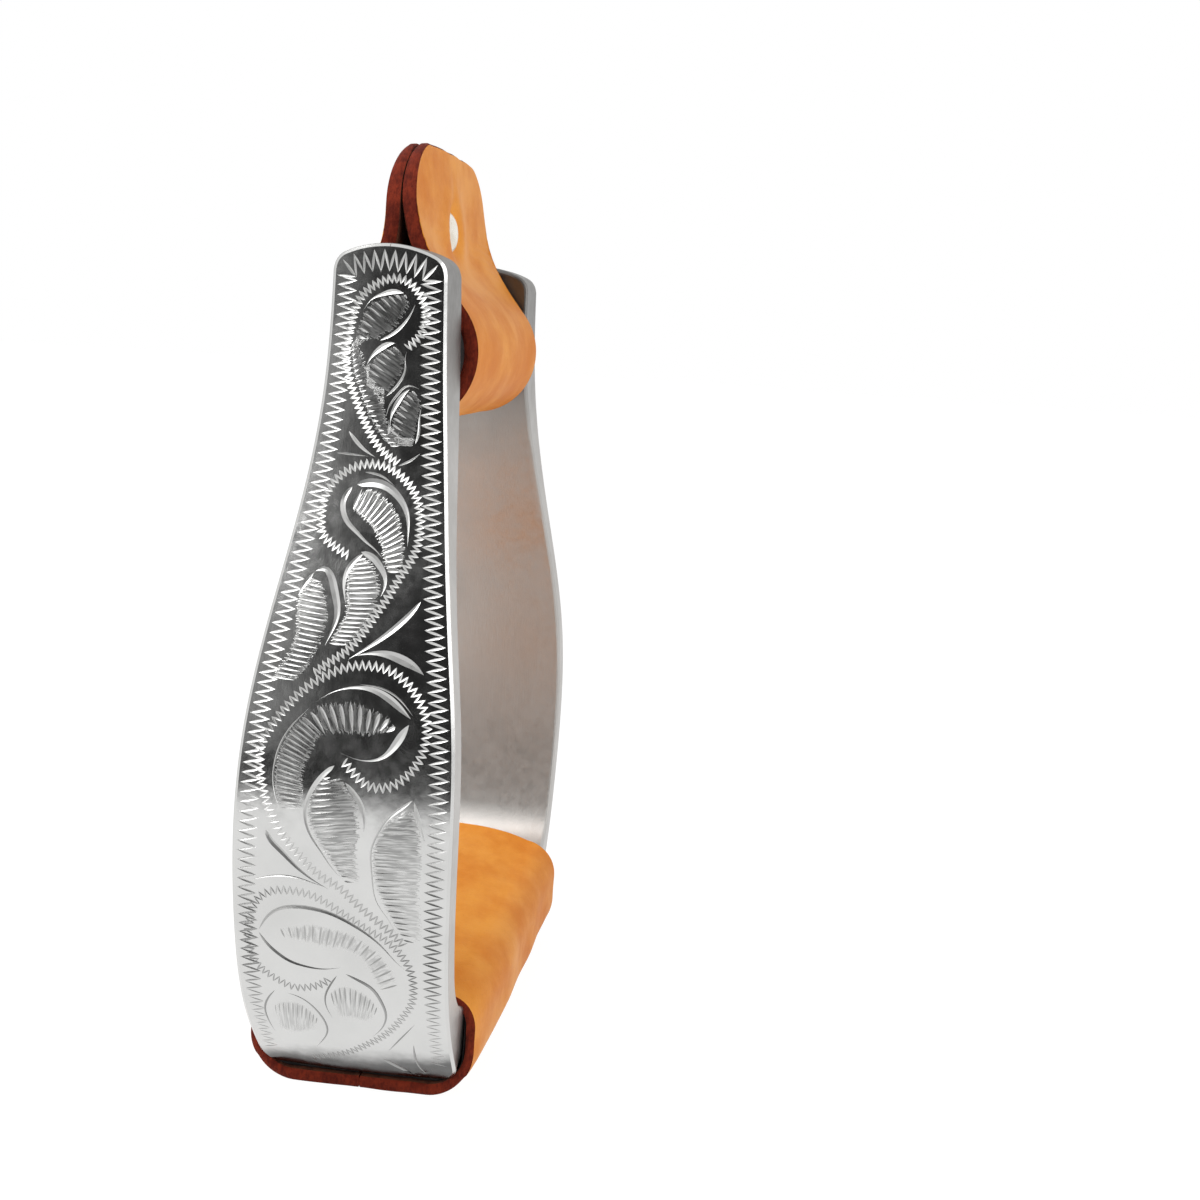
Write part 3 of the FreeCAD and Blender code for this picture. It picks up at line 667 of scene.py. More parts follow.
@dataclass
class LegShape:
    """Shape of a leg, from the front and from the side, above the tread bar's underside."""

    base: float = 5.0
    height: float = 172.0
    reach: float = 73.3
    neck_reach: float = 54.2
    wall: float = 7.3
    neck_wall: float = 14.8
    breadth: float = 44.0
    neck_breadth: float = 22.8
    crown: float = 3.2
    corner: float = 4.0
    shoulder: float = 3.0
    shoulder_lift: float = 0.6
    heel: float = 4.0
    sole: float = 1.1
    bevel: float = 0.65
    rim: float = 0.8
    belly: float = 0.45
    tread: float = 15.0
    radius: float = 18.0
    flare_shares: Route = ((0.0, -0.14), (0.1, 0.555), (0.22, 0.911), (0.337, 1.0), (0.45, 0.906),
                           (0.56, 0.7), (0.66, 0.4), (0.76, 0.125), (0.87, 0.0), (1.0, 0.02))
    wall_shares: tuple[float, ...] = (0.0, 0.0, 0.0, 0.0, 0.0, 0.02, 0.23, 0.62, 0.98, 0.96)
    breadth_shares: Route = ((0.0, 0.93), (0.1, 0.965), (0.22, 0.99), (0.35, 1.0), (0.45, 0.93),
                             (0.55, 0.73), (0.65, 0.48), (0.75, 0.26), (0.85, 0.1), (1.0, 0.0))

    def __post_init__(self) -> None:
        """Work out the curves and the circles that round the top."""
        flare = self.reach - self.neck_reach
        levels = [share * self.height for share, _ in self.flare_shares]
        outer = [self.neck_reach + share * flare for _, share in self.flare_shares]
        thickening = self.neck_wall - self.wall
        inner = [reach - self.wall - share * thickening
                 for reach, share in zip(outer, self.wall_shares)]
        self.outer_line = smooth_curve(list(zip(levels, outer)), 700)
        levels[-1] = self.height + self.shoulder_lift - self.shoulder
        self.inner_line = smooth_curve(list(zip(levels, inner)), 700)
        half = self.neck_breadth / 2
        growth = self.breadth / 2 - half
        rows = [(share * (self.height - self.crown), half + part * growth)
                for share, part in self.breadth_shares]
        self.side_line = smooth_curve(rows, 500)
        self.round = (half**2 + self.crown**2) / (2 * self.crown)
        self.round_level = self.height - self.round
        self.corner_reach = half - self.corner
        lift = math.sqrt((self.round - self.corner)**2 - self.corner_reach**2)
        self.corner_level = self.round_level + lift
        self.corner_angle = math.degrees(math.atan2(lift, self.corner_reach))
        self.find_radius()

    def find_radius(self) -> None:
        """Find the middle of the inside radius, which touches the leg and the tread bar."""
        level = self.tread + self.radius
        low, high = 20.0, 60.0
        for _ in range(40):
            middle = (low + high) / 2
            gaps = np.hypot(self.inner_line[:, 0] - level, self.inner_line[:, 1] - middle)
            low, high = (middle, high) if gaps.min() > self.radius else (low, middle)
        self.radius_middle = (low, level)
        self.radius_touch = self.inner_line[gaps.argmin()]

    def outer(self, level: float) -> float:
        """Return the outer reach at a level."""
        return float(np.interp(level, self.outer_line[:, 0], self.outer_line[:, 1]))

    def inner(self, level: float) -> float:
        """Return the inner reach at a level, with the rounded shoulder."""
        reach = float(np.interp(level, self.inner_line[:, 0], self.inner_line[:, 1]))
        above = level - (self.height + self.shoulder_lift - self.shoulder)
        if above > 0:
            reach += self.shoulder - math.sqrt(max(0.0, self.shoulder**2 - above**2))
        return reach

    def side(self, level: float, inset: float = 0.0) -> float:
        """Return half the breadth at a level of the leg's side, less an inset."""
        half = float(np.interp(level, self.side_line[:, 0], self.side_line[:, 1]))
        under = self.heel - self.sole - level
        if under > 0:
            half -= self.heel - math.sqrt(max(0.0, self.heel**2 - under**2))
        return half - inset

    def rim_point(self, share: float, inset: float) -> Point:
        """Return a point of the side outline above the leg's straight side.

        Args:
            share: 0 where the corner starts, 1 where the crown starts, 2 at the crown's middle.
            inset: distance inside the outline.

        Returns:
            Half the breadth and the level.
        """
        if share <= 1:
            angle, radius = math.radians(self.corner_angle * share), self.corner - inset
            return (self.corner_reach + radius * math.cos(angle),
                    self.corner_level + radius * math.sin(angle))
        angle = math.radians(self.corner_angle + (90 - self.corner_angle) * (share - 1))
        radius = self.round - inset
        return radius * math.cos(angle), self.round_level + radius * math.sin(angle)

    def on_face(self, across: float, level: float, rise: float = 0.0) -> Vector:
        """Return a point on the engraved leg's outer face, in metres, raised by a distance."""
        half = max(1.0, self.side(level, self.bevel))
        sunk = self.belly * min(1.0, (across / half)**2)
        return Vector((-(self.outer(level) - sunk) - rise, across, level + self.base)) * MM


Place = Callable[[float, float], tuple[float, float, float]]


@dataclass
class CastFrame:
    """The casting: two legs and the tread bar, swept as one band from shoulder to shoulder."""

    shape: LegShape
    face_columns: int = 36
    inner_columns: int = 14
    spacing: float = 1.6
    crown_shares: tuple[float, ...] = (1.997, 1.97, 1.9, 1.8, 1.7, 1.6, 1.5, 1.4, 1.3, 1.2, 1.1,
                                       1.0, 0.84, 0.67, 0.5, 0.34, 0.17)
    bevel_shares: tuple[float, ...] = (0.12, 0.5, 0.88, 1.0)
    wall_shares: tuple[float, ...] = (0.04, 0.3, 0.6, 0.94, 1.0)
    rim_angles: tuple[float, ...] = (30.0, 60.0, 90.0)

    def through(self, edge: Callable[[float], Point]) -> Place:
        """Return the places of a section through a leg.

        Args:
            edge: gives half the breadth and the level of the section's edge at an inset.

        Returns:
            The function that gives the places.
        """
        shape = self.shape

        def place(depth: float, inset: float) -> tuple[float, float, float]:
            """Return reach, half breadth and level at a depth share below the outer face."""
            half, level = edge(inset)
            outer, inner = shape.outer(level), shape.inner(level)
            return outer + (inner - outer) * depth, half, level

        return place

    def leg_place(self, level: float) -> Place:
        """Return the places of the section across a leg at a level of its straight side."""
        return self.through(lambda inset: (self.shape.side(level, inset), level))

    def rim_place(self, share: float) -> Place:
        """Return the places of the section that follows the rounded top."""
        return self.through(lambda inset: self.shape.rim_point(share, inset))

    def foot_place(self, outside: Point, inside: Point) -> Place:
        """Return the places of a section that fans from an outer to an inner point."""
        shape = self.shape

        def place(depth: float, inset: float) -> tuple[float, float, float]:
            """Return reach, half breadth and level at a depth share below the outer face."""
            reach = outside[0] + (inside[0] - outside[0]) * depth
            level = outside[1] + (inside[1] - outside[1]) * depth
            return reach, shape.side(level, inset), level

        return place

    def sections(self) -> list[tuple[Place, float]]:
        """Return the sections from a leg's crown to the tread's middle, with their thickness."""
        shape = self.shape
        rows: list[tuple[Place, float]] = []
        for share in self.crown_shares:
            level = shape.rim_point(share, 0.0)[1]
            rows.append((self.rim_place(share), shape.outer(level) - shape.inner(level)))
        touch_level = float(shape.radius_touch[0])
        straight = shape.corner_level - touch_level
        count = round(straight / self.spacing)
        for level in np.linspace(shape.corner_level, touch_level, count + 1):
            rows.append((self.leg_place(float(level)), shape.outer(level) - shape.inner(level)))
        rows.extend(self.foot_sections(touch_level))
        return rows

    def foot_sections(self, touch_level: float) -> list[tuple[Place, float]]:
        """Return the sections round the foot and along the tread bar."""
        shape = self.shape
        middle = shape.radius_middle
        touch_reach = float(shape.radius_touch[1])
        start = math.degrees(math.atan2(touch_level - middle[1], touch_reach - middle[0]))
        steps = 30
        inside = arc_points(middle, shape.radius, start, -90.0, steps + 1)
        down = steps - 5
        falls = np.linspace(touch_level, 0.9 - shape.sole, down + 1)
        outside = [(shape.outer(level), float(level)) for level in falls]
        heel = shape.outer(0.0) - 0.8
        outside += [(float(reach), -shape.sole)
                    for reach in np.linspace(heel, middle[0], steps - down)]
        rows = []
        for number in range(1, steps + 1):
            out, within = outside[number], tuple(inside[number])
            rows.append((self.foot_place(out, within), math.dist(out, within)))
        for reach in np.linspace(middle[0], 0.0, 9)[1:]:
            rows.append((self.foot_place((reach, -shape.sole), (reach, shape.tread)),
                         shape.tread + shape.sole))
        return rows

    def ring(self, place: Place, thickness: float, sign: int) -> list[tuple[float, float, float]]:
        """Return the closed ring of one section."""
        shape = self.shape
        points: list[tuple[float, float, float]] = []

        def add(depth: float, inset: float, share: float) -> None:
            """Add a point at a depth in millimetres and a share of the half breadth."""
            reach, half, level = place(depth / thickness, inset)
            points.append((sign * reach, share * max(0.05, half), level + shape.base))

        bevel, rim = shape.bevel, shape.rim
        _, half, level = place(0.0, bevel)
        belly = shape.belly * min(1.0, half / shape.side(level, bevel))**2
        for share in np.linspace(-1, 1, self.face_columns + 1):
            add(belly * share**2, bevel, float(share))
        for turn in (1, -1):
            walk: list[tuple[float, float]] = []
            for part in self.bevel_shares:
                walk.append((belly + bevel * part, bevel * (1 - part)))
            for part in self.wall_shares:
                walk.append((belly + bevel + (thickness - rim - belly - bevel) * part, 0.0))
            for angle in self.rim_angles:
                turned = math.radians(angle)
                walk.append((thickness - rim + rim * math.sin(turned),
                             rim * (1 - math.cos(turned))))
            for depth, inset in walk[::turn]:
                add(depth, inset, float(turn))
            if turn == 1:
                for share in np.linspace(1, -1, self.inner_columns + 1)[1:-1]:
                    add(thickness, rim, float(share))
        return points

    def build(self) -> bmesh.types.BMesh:
        """Sweep the sections from the engraved side's crown to the plain side's."""
        rows = self.sections()
        rings = [self.ring(*row, Side.ENGRAVED.value) for row in rows]
        rings += [self.ring(*row, Side.PLAIN.value) for row in rows[-2::-1]]

        def finish(row: int, column: int) -> int:
            """Return the finish of a face by its place round the ring."""
            if column < self.face_columns:
                return CastFinish.POLISHED.value
            after, before = column - self.face_columns, len(rings[0]) - column
            return CastFinish.BEVEL.value if min(after, before - 1) < 3 else CastFinish.SATIN.value

        return woven(np.array(rings), finish)


# Engraving


@dataclass(frozen=True)
class Band:
    """Wriggle-cut band: one line walked from side to side along a route of the photograph."""

    name: str
    route: Route
    width: float = 2.0
    pitch: float = 1.05
    cut: float = 0.42


@dataclass(frozen=True)
class Flare:
    """One swelling cut along a route of the photograph, broadest at a share of its length."""

    name: str
    route: Route
    width: float = 0.9
    peak: float = 0.5


@dataclass(frozen=True)
class Comb:
    """Shading cuts of a leaf, from one route of the photograph to another."""

    name: str
    roots: Route
    tips: Route
    count: int
    cut: float = 0.42
    reach: float = 1.0


BANDS = (
    Band("first ring and stem", ((407, 348), (421, 334.5), (425.5, 320.5), (425.5, 308.5),
        (418, 291.5), (407, 281), (395, 278), (382.5, 281), (367.5, 290), (357.5, 302.5),
        (353, 316), (349, 333), (346.5, 345), (346, 357.5), (348, 373), (353.5, 392.5),
        (361, 412.5), (369, 431), (378, 446), (387.5, 455.5), (398, 463))),
    Band("second ring and stem", ((348.5, 555.5), (337, 548), (328, 540.5), (321.5, 532.5),
        (321, 522), (321.5, 511), (324.5, 497.5), (331, 485), (341.5, 474.5), (354, 467),
        (366, 464), (380, 464.5), (392, 469), (403, 477.5), (410.5, 486.5), (416.5, 497.5),
        (419.5, 511), (420.5, 523.5), (419.5, 535.5), (416.5, 549.5), (410.5, 561.5), (401, 575.5),
        (393.5, 588), (386, 600), (378.5, 610.5), (369, 624.5), (360, 636.5), (350.5, 647.5),
        (338.5, 656.5), (326, 664.5), (314, 673.5)), 2.0, 1.1),
    Band("third ring and stem", ((343.5, 761), (348, 767), (356, 776), (366.5, 785.5),
        (379, 788.5), (391, 787), (403.5, 779.5), (415.5, 767), (423, 753), (426.5, 738),
        (426.5, 722.5), (423, 709), (417, 696.5), (408, 684.5), (395.5, 673.5), (380.5, 667.5),
        (365, 665.5), (345, 667.5), (330, 673.5), (314.5, 681.5), (302.5, 690.5), (290, 702.5),
        (278, 716.5), (267, 732), (261, 744), (259.5, 756.5), (260, 771.5), (262.5, 787),
        (266.5, 802), (273.5, 819), (282.5, 834.5), (293, 848), (304, 860.5), (317.5, 874),
        (339, 887.5), (355, 902.5), (371.5, 917), (387.5, 930), (404, 946)), 2.1, 1.3),
    Band("fourth ring", ((329, 979.5), (319.5, 985), (306.5, 987.5), (293.5, 987), (280.5, 981),
        (269, 974), (257.5, 964), (251, 951), (248, 936.5), (249.5, 922), (252.5, 907), (259, 897),
        (270.5, 891), (287, 890), (303, 892.5), (319.5, 899), (335.5, 909), (352, 920), (368, 930),
        (384.5, 939.5), (397.5, 951), (407, 964), (412, 977), (413.5, 990), (412, 1003),
        (404, 1016), (394, 1027.5), (381, 1037.5), (365, 1045.5), (348.5, 1052), (330.5, 1055),
        (313, 1057)), 2.0, 1.25, 0.36),
)

FLARES = (
    Flare("first leaf back", ((361, 318), (364, 310), (372, 299), (383, 294), (393, 291.5),
        (404, 293)), 1.0, 0.78),
    Flare("first leaf belly", ((379.5, 340.5), (392, 334.5), (402.5, 325.5), (411.5, 313),
        (415.5, 304)), 0.6, 0.35),
    Flare("second leaf back", ((366, 374), (366.5, 366.5), (372, 356), (381, 348), (390, 343.5),
        (395, 343)), 1.1, 0.72),
    Flare("second leaf belly", ((386, 396.5), (395, 388), (402.5, 377.5), (405.5, 368),
        (405.5, 356), (407, 351)), 0.5, 0.3),
    Flare("third leaf back", ((390, 425), (392, 414), (398, 402), (405.5, 392.5), (409.5, 389.5)),
        1.0, 0.6),
    Flare("third leaf outline", ((386, 417), (390, 405), (398, 394), (407, 386), (420, 389.5)),
        0.45, 0.5),
    Flare("third leaf belly", ((415, 444.5), (418.5, 434), (419.5, 418.5), (421.5, 408)), 0.5,
        0.3),
    Flare("first spear", ((349, 431), (356.5, 441.5), (366, 451), (376, 457.5)), 0.75, 0.35),
    Flare("first spear foot", ((335, 452.5), (350.5, 454), (369, 456.5)), 0.4, 0.4),
    Flare("stem end", ((398, 466), (410, 461), (421, 453)), 0.45, 0.4),
    Flare("fourth leaf back", ((357, 484.5), (372, 482.5), (386, 486), (396.5, 494.5),
        (404.5, 506.5), (408, 519), (408, 535.5), (407.5, 546.5)), 1.7, 0.22),
    Flare("fourth leaf rim", ((364.5, 472), (381.5, 476), (395, 486.5)), 0.45, 0.4),
    Flare("fourth leaf belly", ((352.5, 486.5), (344.5, 497.5), (343, 509.5), (347.5, 522),
        (357, 532.5), (366, 542), (375, 549.5), (383, 559)), 1.1, 0.22),
    Flare("fifth leaf back", ((361, 552), (372, 557), (380, 566.5), (385, 577), (384.5, 588),
        (380.5, 597)), 1.3, 0.3),
    Flare("fifth leaf belly", ((363, 554), (352, 563.5), (346, 574), (344, 588), (346, 604.5)),
        0.95, 0.3),
    Flare("sixth leaf belly", ((314, 572.5), (306.5, 581.5), (301, 589.5), (298.5, 597)), 0.95,
        0.45),
    Flare("sixth leaf back", ((315.5, 571), (325, 568.5), (331.5, 577.5), (334.5, 590), (337, 604),
        (337, 616), (332, 630.5), (324.5, 646)), 1.5, 0.36),
    Flare("slender spear", ((421, 601.5), (412, 612.5), (399.5, 624.5), (384.5, 636.5),
        (363, 650.5), (347.5, 659.5)), 1.1, 0.32),
    Flare("broad spear", ((350.5, 656.5), (369, 653.5), (387.5, 654.5), (403, 660.5), (415, 667.5),
        (424, 675.5)), 1.8, 0.66),
    Flare("seventh leaf back", ((310, 707.5), (324, 696.5), (340.5, 689.5), (359, 687.5),
        (374.5, 690.5), (388, 698), (400.5, 709), (411, 719.5)), 1.4, 0.76),
    Flare("seventh leaf rim", ((359, 684.5), (380.5, 688), (397, 697), (413, 716.5)), 0.4, 0.5),
    Flare("seventh leaf belly", ((320.5, 739.5), (333, 748.5), (348, 756.5), (365, 761),
        (382, 758), (394, 747), (403.5, 733), (409, 725)), 1.6, 0.84),
    Flare("seventh leaf outline", ((310, 707.5), (293, 724), (281, 742.5), (275, 761), (273, 778),
        (275, 794.5), (279.5, 810)), 0.4, 0.5),
    Flare("eighth leaf back", ((334.5, 765.5), (322, 776), (311.5, 790), (305.5, 805.5),
        (305.5, 820.5), (310, 834.5), (320.5, 851), (333, 869.5), (342, 879)), 0.95, 0.14),
    Flare("eighth leaf belly", ((345, 782.5), (354.5, 794.5), (362, 808.5), (364.5, 823.5),
        (363.5, 833)), 1.1, 0.38),
    Flare("ninth leaf back", ((412.5, 800.5), (402, 808.5), (388, 819), (377.5, 834.5),
        (371, 849.5), (371, 866.5), (372.5, 884), (376.5, 902.5), (387.5, 918.5), (397.5, 936.5)),
        0.6, 0.12),
    Flare("ninth leaf belly", ((414, 802), (417, 816), (420, 828), (425.5, 843.5)), 1.0, 0.45),
    Flare("third spear", ((265.5, 829.5), (270, 839), (279.5, 849.5), (291.5, 862), (308, 876.5),
        (329, 889.5)), 1.1, 0.2),
    Flare("fourth scroll line", ((252, 879.5), (265.5, 876.5), (282, 875.5), (298, 878),
        (313, 883), (326, 887.5)), 0.4, 0.5),
    Flare("tenth leaf back", ((258.5, 930), (264, 920), (274, 910.5), (290, 906.5), (309.5, 908),
        (329, 913), (348.5, 922.5), (368, 935), (384.5, 949.5), (397.5, 964), (405.5, 970.5)),
        0.85, 0.35),
    Flare("tenth leaf belly", ((258.5, 931.5), (265.5, 941.5), (277, 952.5), (290, 961),
        (306.5, 966.5), (321, 969), (342, 967.5)), 0.7, 0.3),
    Flare("eleventh leaf belly", ((275.5, 989.5), (269, 996.5), (265, 1006.5), (267.5, 1017.5),
        (274, 1029), (280.5, 1037.5)), 0.55, 0.35),
    Flare("eleventh leaf back", ((283.5, 992), (301.5, 998), (313, 1006.5), (322.5, 1017.5),
        (327.5, 1029), (322.5, 1040.5), (316, 1047)), 0.45, 0.5),
    Flare("twelfth leaf belly", ((337, 975.5), (329, 987), (325, 998), (327.5, 1009.5),
        (334, 1019.5)), 0.45, 0.3),
    Flare("twelfth leaf back", ((345.5, 974), (358.5, 980.5), (371.5, 988.5), (381, 1001.5),
        (386, 1014.5), (382.5, 1027.5), (371.5, 1037.5)), 0.75, 0.3),
    Flare("low spear", ((382.5, 1058.5), (397.5, 1066.5), (412, 1073), (430, 1079.5)), 1.1, 0.2),
    Flare("corner spear", ((413.5, 1044), (415.5, 1058.5), (422, 1070), (431.5, 1078.5)), 0.6,
        0.4),
    Flare("corner line", ((387.5, 1052), (397.5, 1042), (417, 1022.5)), 0.4, 0.5),
)

COMBS = (
    Comb("first leaf", ((358, 336), (361, 321), (366, 311), (374, 302), (383, 297.5), (393, 295),
        (404, 295)), ((374, 341), (381, 336), (389, 331), (397, 324), (403, 316), (407, 308),
        (410, 301)), 10, 0.5, 0.5),
    Comb("second leaf", ((366, 384), (368, 372), (374, 360), (382, 352), (393, 347)), ((383, 395),
        (392, 387), (399, 377), (403, 367), (404, 354)), 8, 0.45, 0.5),
    Comb("third leaf", ((391, 431), (394, 417), (400, 405), (406, 396), (412, 391)), ((410, 444),
        (415, 434), (418, 421), (420, 410), (421, 400)), 8, 0.45, 0.5),
    Comb("first stem", ((352, 345), (353, 365), (358, 385), (366, 407), (376, 427), (390, 446)),
        ((357, 338), (364, 360), (371, 382), (382, 403), (391, 430), (411, 446)), 22, 0.3, 0.45),
    Comb("fourth leaf", ((353, 509), (363, 517), (372, 526), (376, 534), (380, 541), (382, 548),
        (384, 558), (387, 571)), ((362, 489), (377, 493), (389, 503), (397, 515), (401, 528),
        (403, 541), (404, 554), (400, 572)), 17, 0.6),
    Comb("fifth leaf", ((356, 560), (349.5, 572), (346.5, 590), (347, 607), (341, 624),
        (329, 643)), ((367, 558), (375, 570), (379, 587), (377, 603), (366, 623), (349, 645)), 19,
        0.45),
    Comb("sixth leaf", ((311, 579), (301.5, 591), (297, 608), (297, 626), (291, 648), (272, 676)),
        ((321, 582), (326, 599), (327, 617), (321, 639), (310, 661), (294, 680)), 20, 0.4),
    Comb("seventh leaf", ((311.5, 712), (322, 704.5), (336, 704), (350, 702.5), (365, 707),
        (377.5, 712), (388, 718), (395.5, 727)), ((325.5, 735), (331.5, 732.5), (340.5, 732),
        (351.5, 733.5), (360.5, 734), (368, 735), (376, 732), (386.5, 732)), 10, 0.85),
    Comb("seventh leaf stem", ((304, 717), (296, 724), (288.5, 733.5), (282.5, 744), (278, 756.5),
        (275.5, 770), (275, 782.5), (276.5, 794.5), (279.5, 807)), ((322, 734), (317.5, 739.5),
        (313, 747), (310, 753), (305.5, 762.5), (302.5, 773), (301, 784), (301, 796),
        (301, 808.5)), 19, 0.4),
    Comb("eighth leaf", ((322, 779), (313, 791), (308.5, 805.5), (309, 820), (314, 834),
        (322, 848), (332, 863), (344, 881)), ((338, 776), (347, 790), (355, 806), (358, 822),
        (358, 838), (356, 853), (357, 868), (361, 884)), 19, 0.42, 0.55),
    Comb("ninth leaf", ((400, 815), (386, 825), (378, 838), (373, 852), (373, 867), (375, 882),
        (380, 897), (387, 912), (395, 926), (403, 940)), ((411, 808), (416, 822), (419, 838),
        (420, 854), (420, 870), (419, 886), (419, 902), (420, 918), (421, 933), (422, 945)), 22,
        0.42, 0.6),
    Comb("tenth leaf", ((280.5, 928.5), (290, 926.5), (298, 926), (308, 924), (317.5, 925),
        (330.5, 928.5), (339, 930), (348.5, 933), (358.5, 938), (368, 944.5), (378, 952.5),
        (387.5, 964), (394, 974), (397.5, 985)), ((285, 938), (293.5, 939.5), (301.5, 941.5),
        (309.5, 943), (319.5, 946), (329, 948), (342, 949.5), (352, 952.5), (360, 957.5),
        (365, 962.5), (368, 969), (373, 977), (376, 983.5), (379.5, 990)), 18),
    Comb("eleventh leaf", ((275, 1003), (283, 1001), (291, 1001), (300, 1003), (309, 1009),
        (317, 1017)), ((279, 1028), (287, 1030), (295, 1032), (302, 1032), (309, 1031),
        (315, 1030)), 11, 0.3, 0.6),
    Comb("twelfth leaf", ((331, 992), (339, 987), (349, 987), (360, 991), (370, 998), (377, 1007)),
        ((337, 1016), (344, 1017), (351, 1018), (358, 1020), (365, 1021), (372, 1022)), 11, 0.35,
        0.6),
)


@dataclass(frozen=True)
class Stroke:
    """One V-shaped cut in the engraved face, as a route of (across, level) in millimetres."""

    route: tuple[Point, ...]
    width: float
    depth: float
    peak: float = 0.5


@dataclass
class Engraver:
    """Cuts the traditional scrollwork of the photograph into the engraved leg's outer face."""

    shape: LegShape
    view: Viewpoint
    strokes: list[Stroke] = field(default_factory=list)
    sides: int = 4
    speck: int = 100
    border_pitch: float = 1.95
    border_cut: float = 0.5

    def on_leg(self, pixel: Point) -> Point:
        """Return where on the face a point of the photograph lies, as (across, level)."""
        eye, ray = Vector(self.view.place), self.view.ray(pixel)
        reach = -66.0
        for _ in range(12):
            hit = eye + ray * ((reach - eye.x) / ray.x)
            reach = self.shape.on_face(hit.y, hit.z - self.shape.base).x / MM
        return hit.y, hit.z - self.shape.base

    def trace(self, route: Route, count: int) -> np.ndarray:
        """Return evenly spread points of a route, laid on the face."""
        return smooth_curve([self.on_leg(pixel) for pixel in route], count)

    def wriggle(self, line: np.ndarray, band: Band) -> None:
        """Walk along a line from one side of its band to the other."""
        run, aside = run_along(line), square_to(line) * band.width / 2
        rails = np.stack([line - aside, line + aside], axis=1)
        count = 2 * max(2, round(run[-1] / band.pitch)) + 1
        self.zigzag(rails, run, np.linspace(0, run[-1], count), band.cut)

    def border(self) -> None:
        """Walk the border up one side, round the top and down the other, fanning at the corners."""
        shape = self.shape
        near, far = shape.bevel + 0.55, shape.bevel + 4.45
        bend = shape.corner_level - 1.2
        pairs = [((shape.side(level, near), level), (shape.side(level, far), level))
                 for level in np.linspace(4.0, bend, 300)]
        pivot = shape.rim_point(1.0, far + 0.3)
        pairs += [((shape.side(level, near), level), pivot)
                  for level in np.linspace(bend, shape.corner_level, 6)]
        pairs += [(shape.rim_point(share, near), pivot) for share in np.linspace(0.0, 1.0, 20)]
        pairs += [(shape.rim_point(share, near), shape.rim_point(share, far + 0.3))
                  for share in np.linspace(1.0, 2.0, 60)]
        half = np.array(pairs)
        rails = np.concatenate([half, (half * (-1, 1))[-2::-1]])
        steps = np.linalg.norm(np.diff(rails, axis=0), axis=2) @ (0.6, 0.4)
        run = np.concatenate(([0.0], np.cumsum(steps)))
        count = 2 * round(run[-1] / self.border_pitch) + 1
        self.zigzag(rails, run, np.linspace(0, run[-1], count), self.border_cut)

    def zigzag(self, rails: np.ndarray, run: np.ndarray, at: np.ndarray, cut: float) -> None:
        """Walk to and fro between two rails and keep each step as a stroke.

        Args:
            rails: pairs of places that face each other.
            run: distance along the rails of each pair.
            at: distances at which a rail is reached, by turns.
            cut: width of the strokes.
        """
        corners = np.array([[np.interp(there, run, rails[:, number % 2, axis]) for axis in (0, 1)]
                            for number, there in enumerate(at)])
        for number, (start, end) in enumerate(zip(corners[:-1], corners[1:])):
            over = (end - start) * (0.03 + 0.07 * ripple((number * 3.1, cut, run[-1]), 2.0))
            route = (tuple(start - over), tuple(end + over))
            self.strokes.append(Stroke(route, cut, cut * 0.26, 0.45))

    def draw(self) -> None:
        """Collect every stroke of the border, the scrolls and their leaves."""
        self.border()
        for band in BANDS:
            self.wriggle(self.trace(band.route, 160), band)
        for flare in FLARES:
            line = self.trace(flare.route, 24)
            depth = min(0.30, 0.12 + 0.13 * flare.width)
            self.strokes.append(Stroke(tuple(map(tuple, line)), flare.width, depth, flare.peak))
        for comb in COMBS:
            roots, tips = (evenly(self.trace(side, 80), comb.count)
                           for side in (comb.roots, comb.tips))
            for number, (root, tip) in enumerate(zip(roots, tips)):
                reach = comb.reach * (1.0 + 0.15 * ripple((number * 2.3, comb.count, 0.5), 1.7))
                end = root + (tip - root) * reach
                route = (tuple(root), tuple(end))
                self.strokes.append(Stroke(route, comb.cut, comb.cut * 0.22, 0.35))

    def batches(self) -> list[list[Stroke]]:
        """Share the strokes out so that no two of one batch meet."""
        shared: list[tuple[list[Stroke], list[tuple[float, float, float, float]]]] = []
        for stroke in self.strokes:
            route = np.array(stroke.route)
            low, high = route.min(axis=0) - stroke.width, route.max(axis=0) + stroke.width
            for strokes, boxes in shared:
                known = np.array(boxes)
                apart = ((known[:, 0] > high[0]) | (known[:, 2] < low[0])
                         | (known[:, 1] > high[1]) | (known[:, 3] < low[1]))
                if apart.all():
                    break
            else:
                strokes, boxes = [], []
                shared.append((strokes, boxes))
            strokes.append(stroke)
            boxes.append((low[0], low[1], high[0], high[1]))
        return [strokes for strokes, _ in shared]

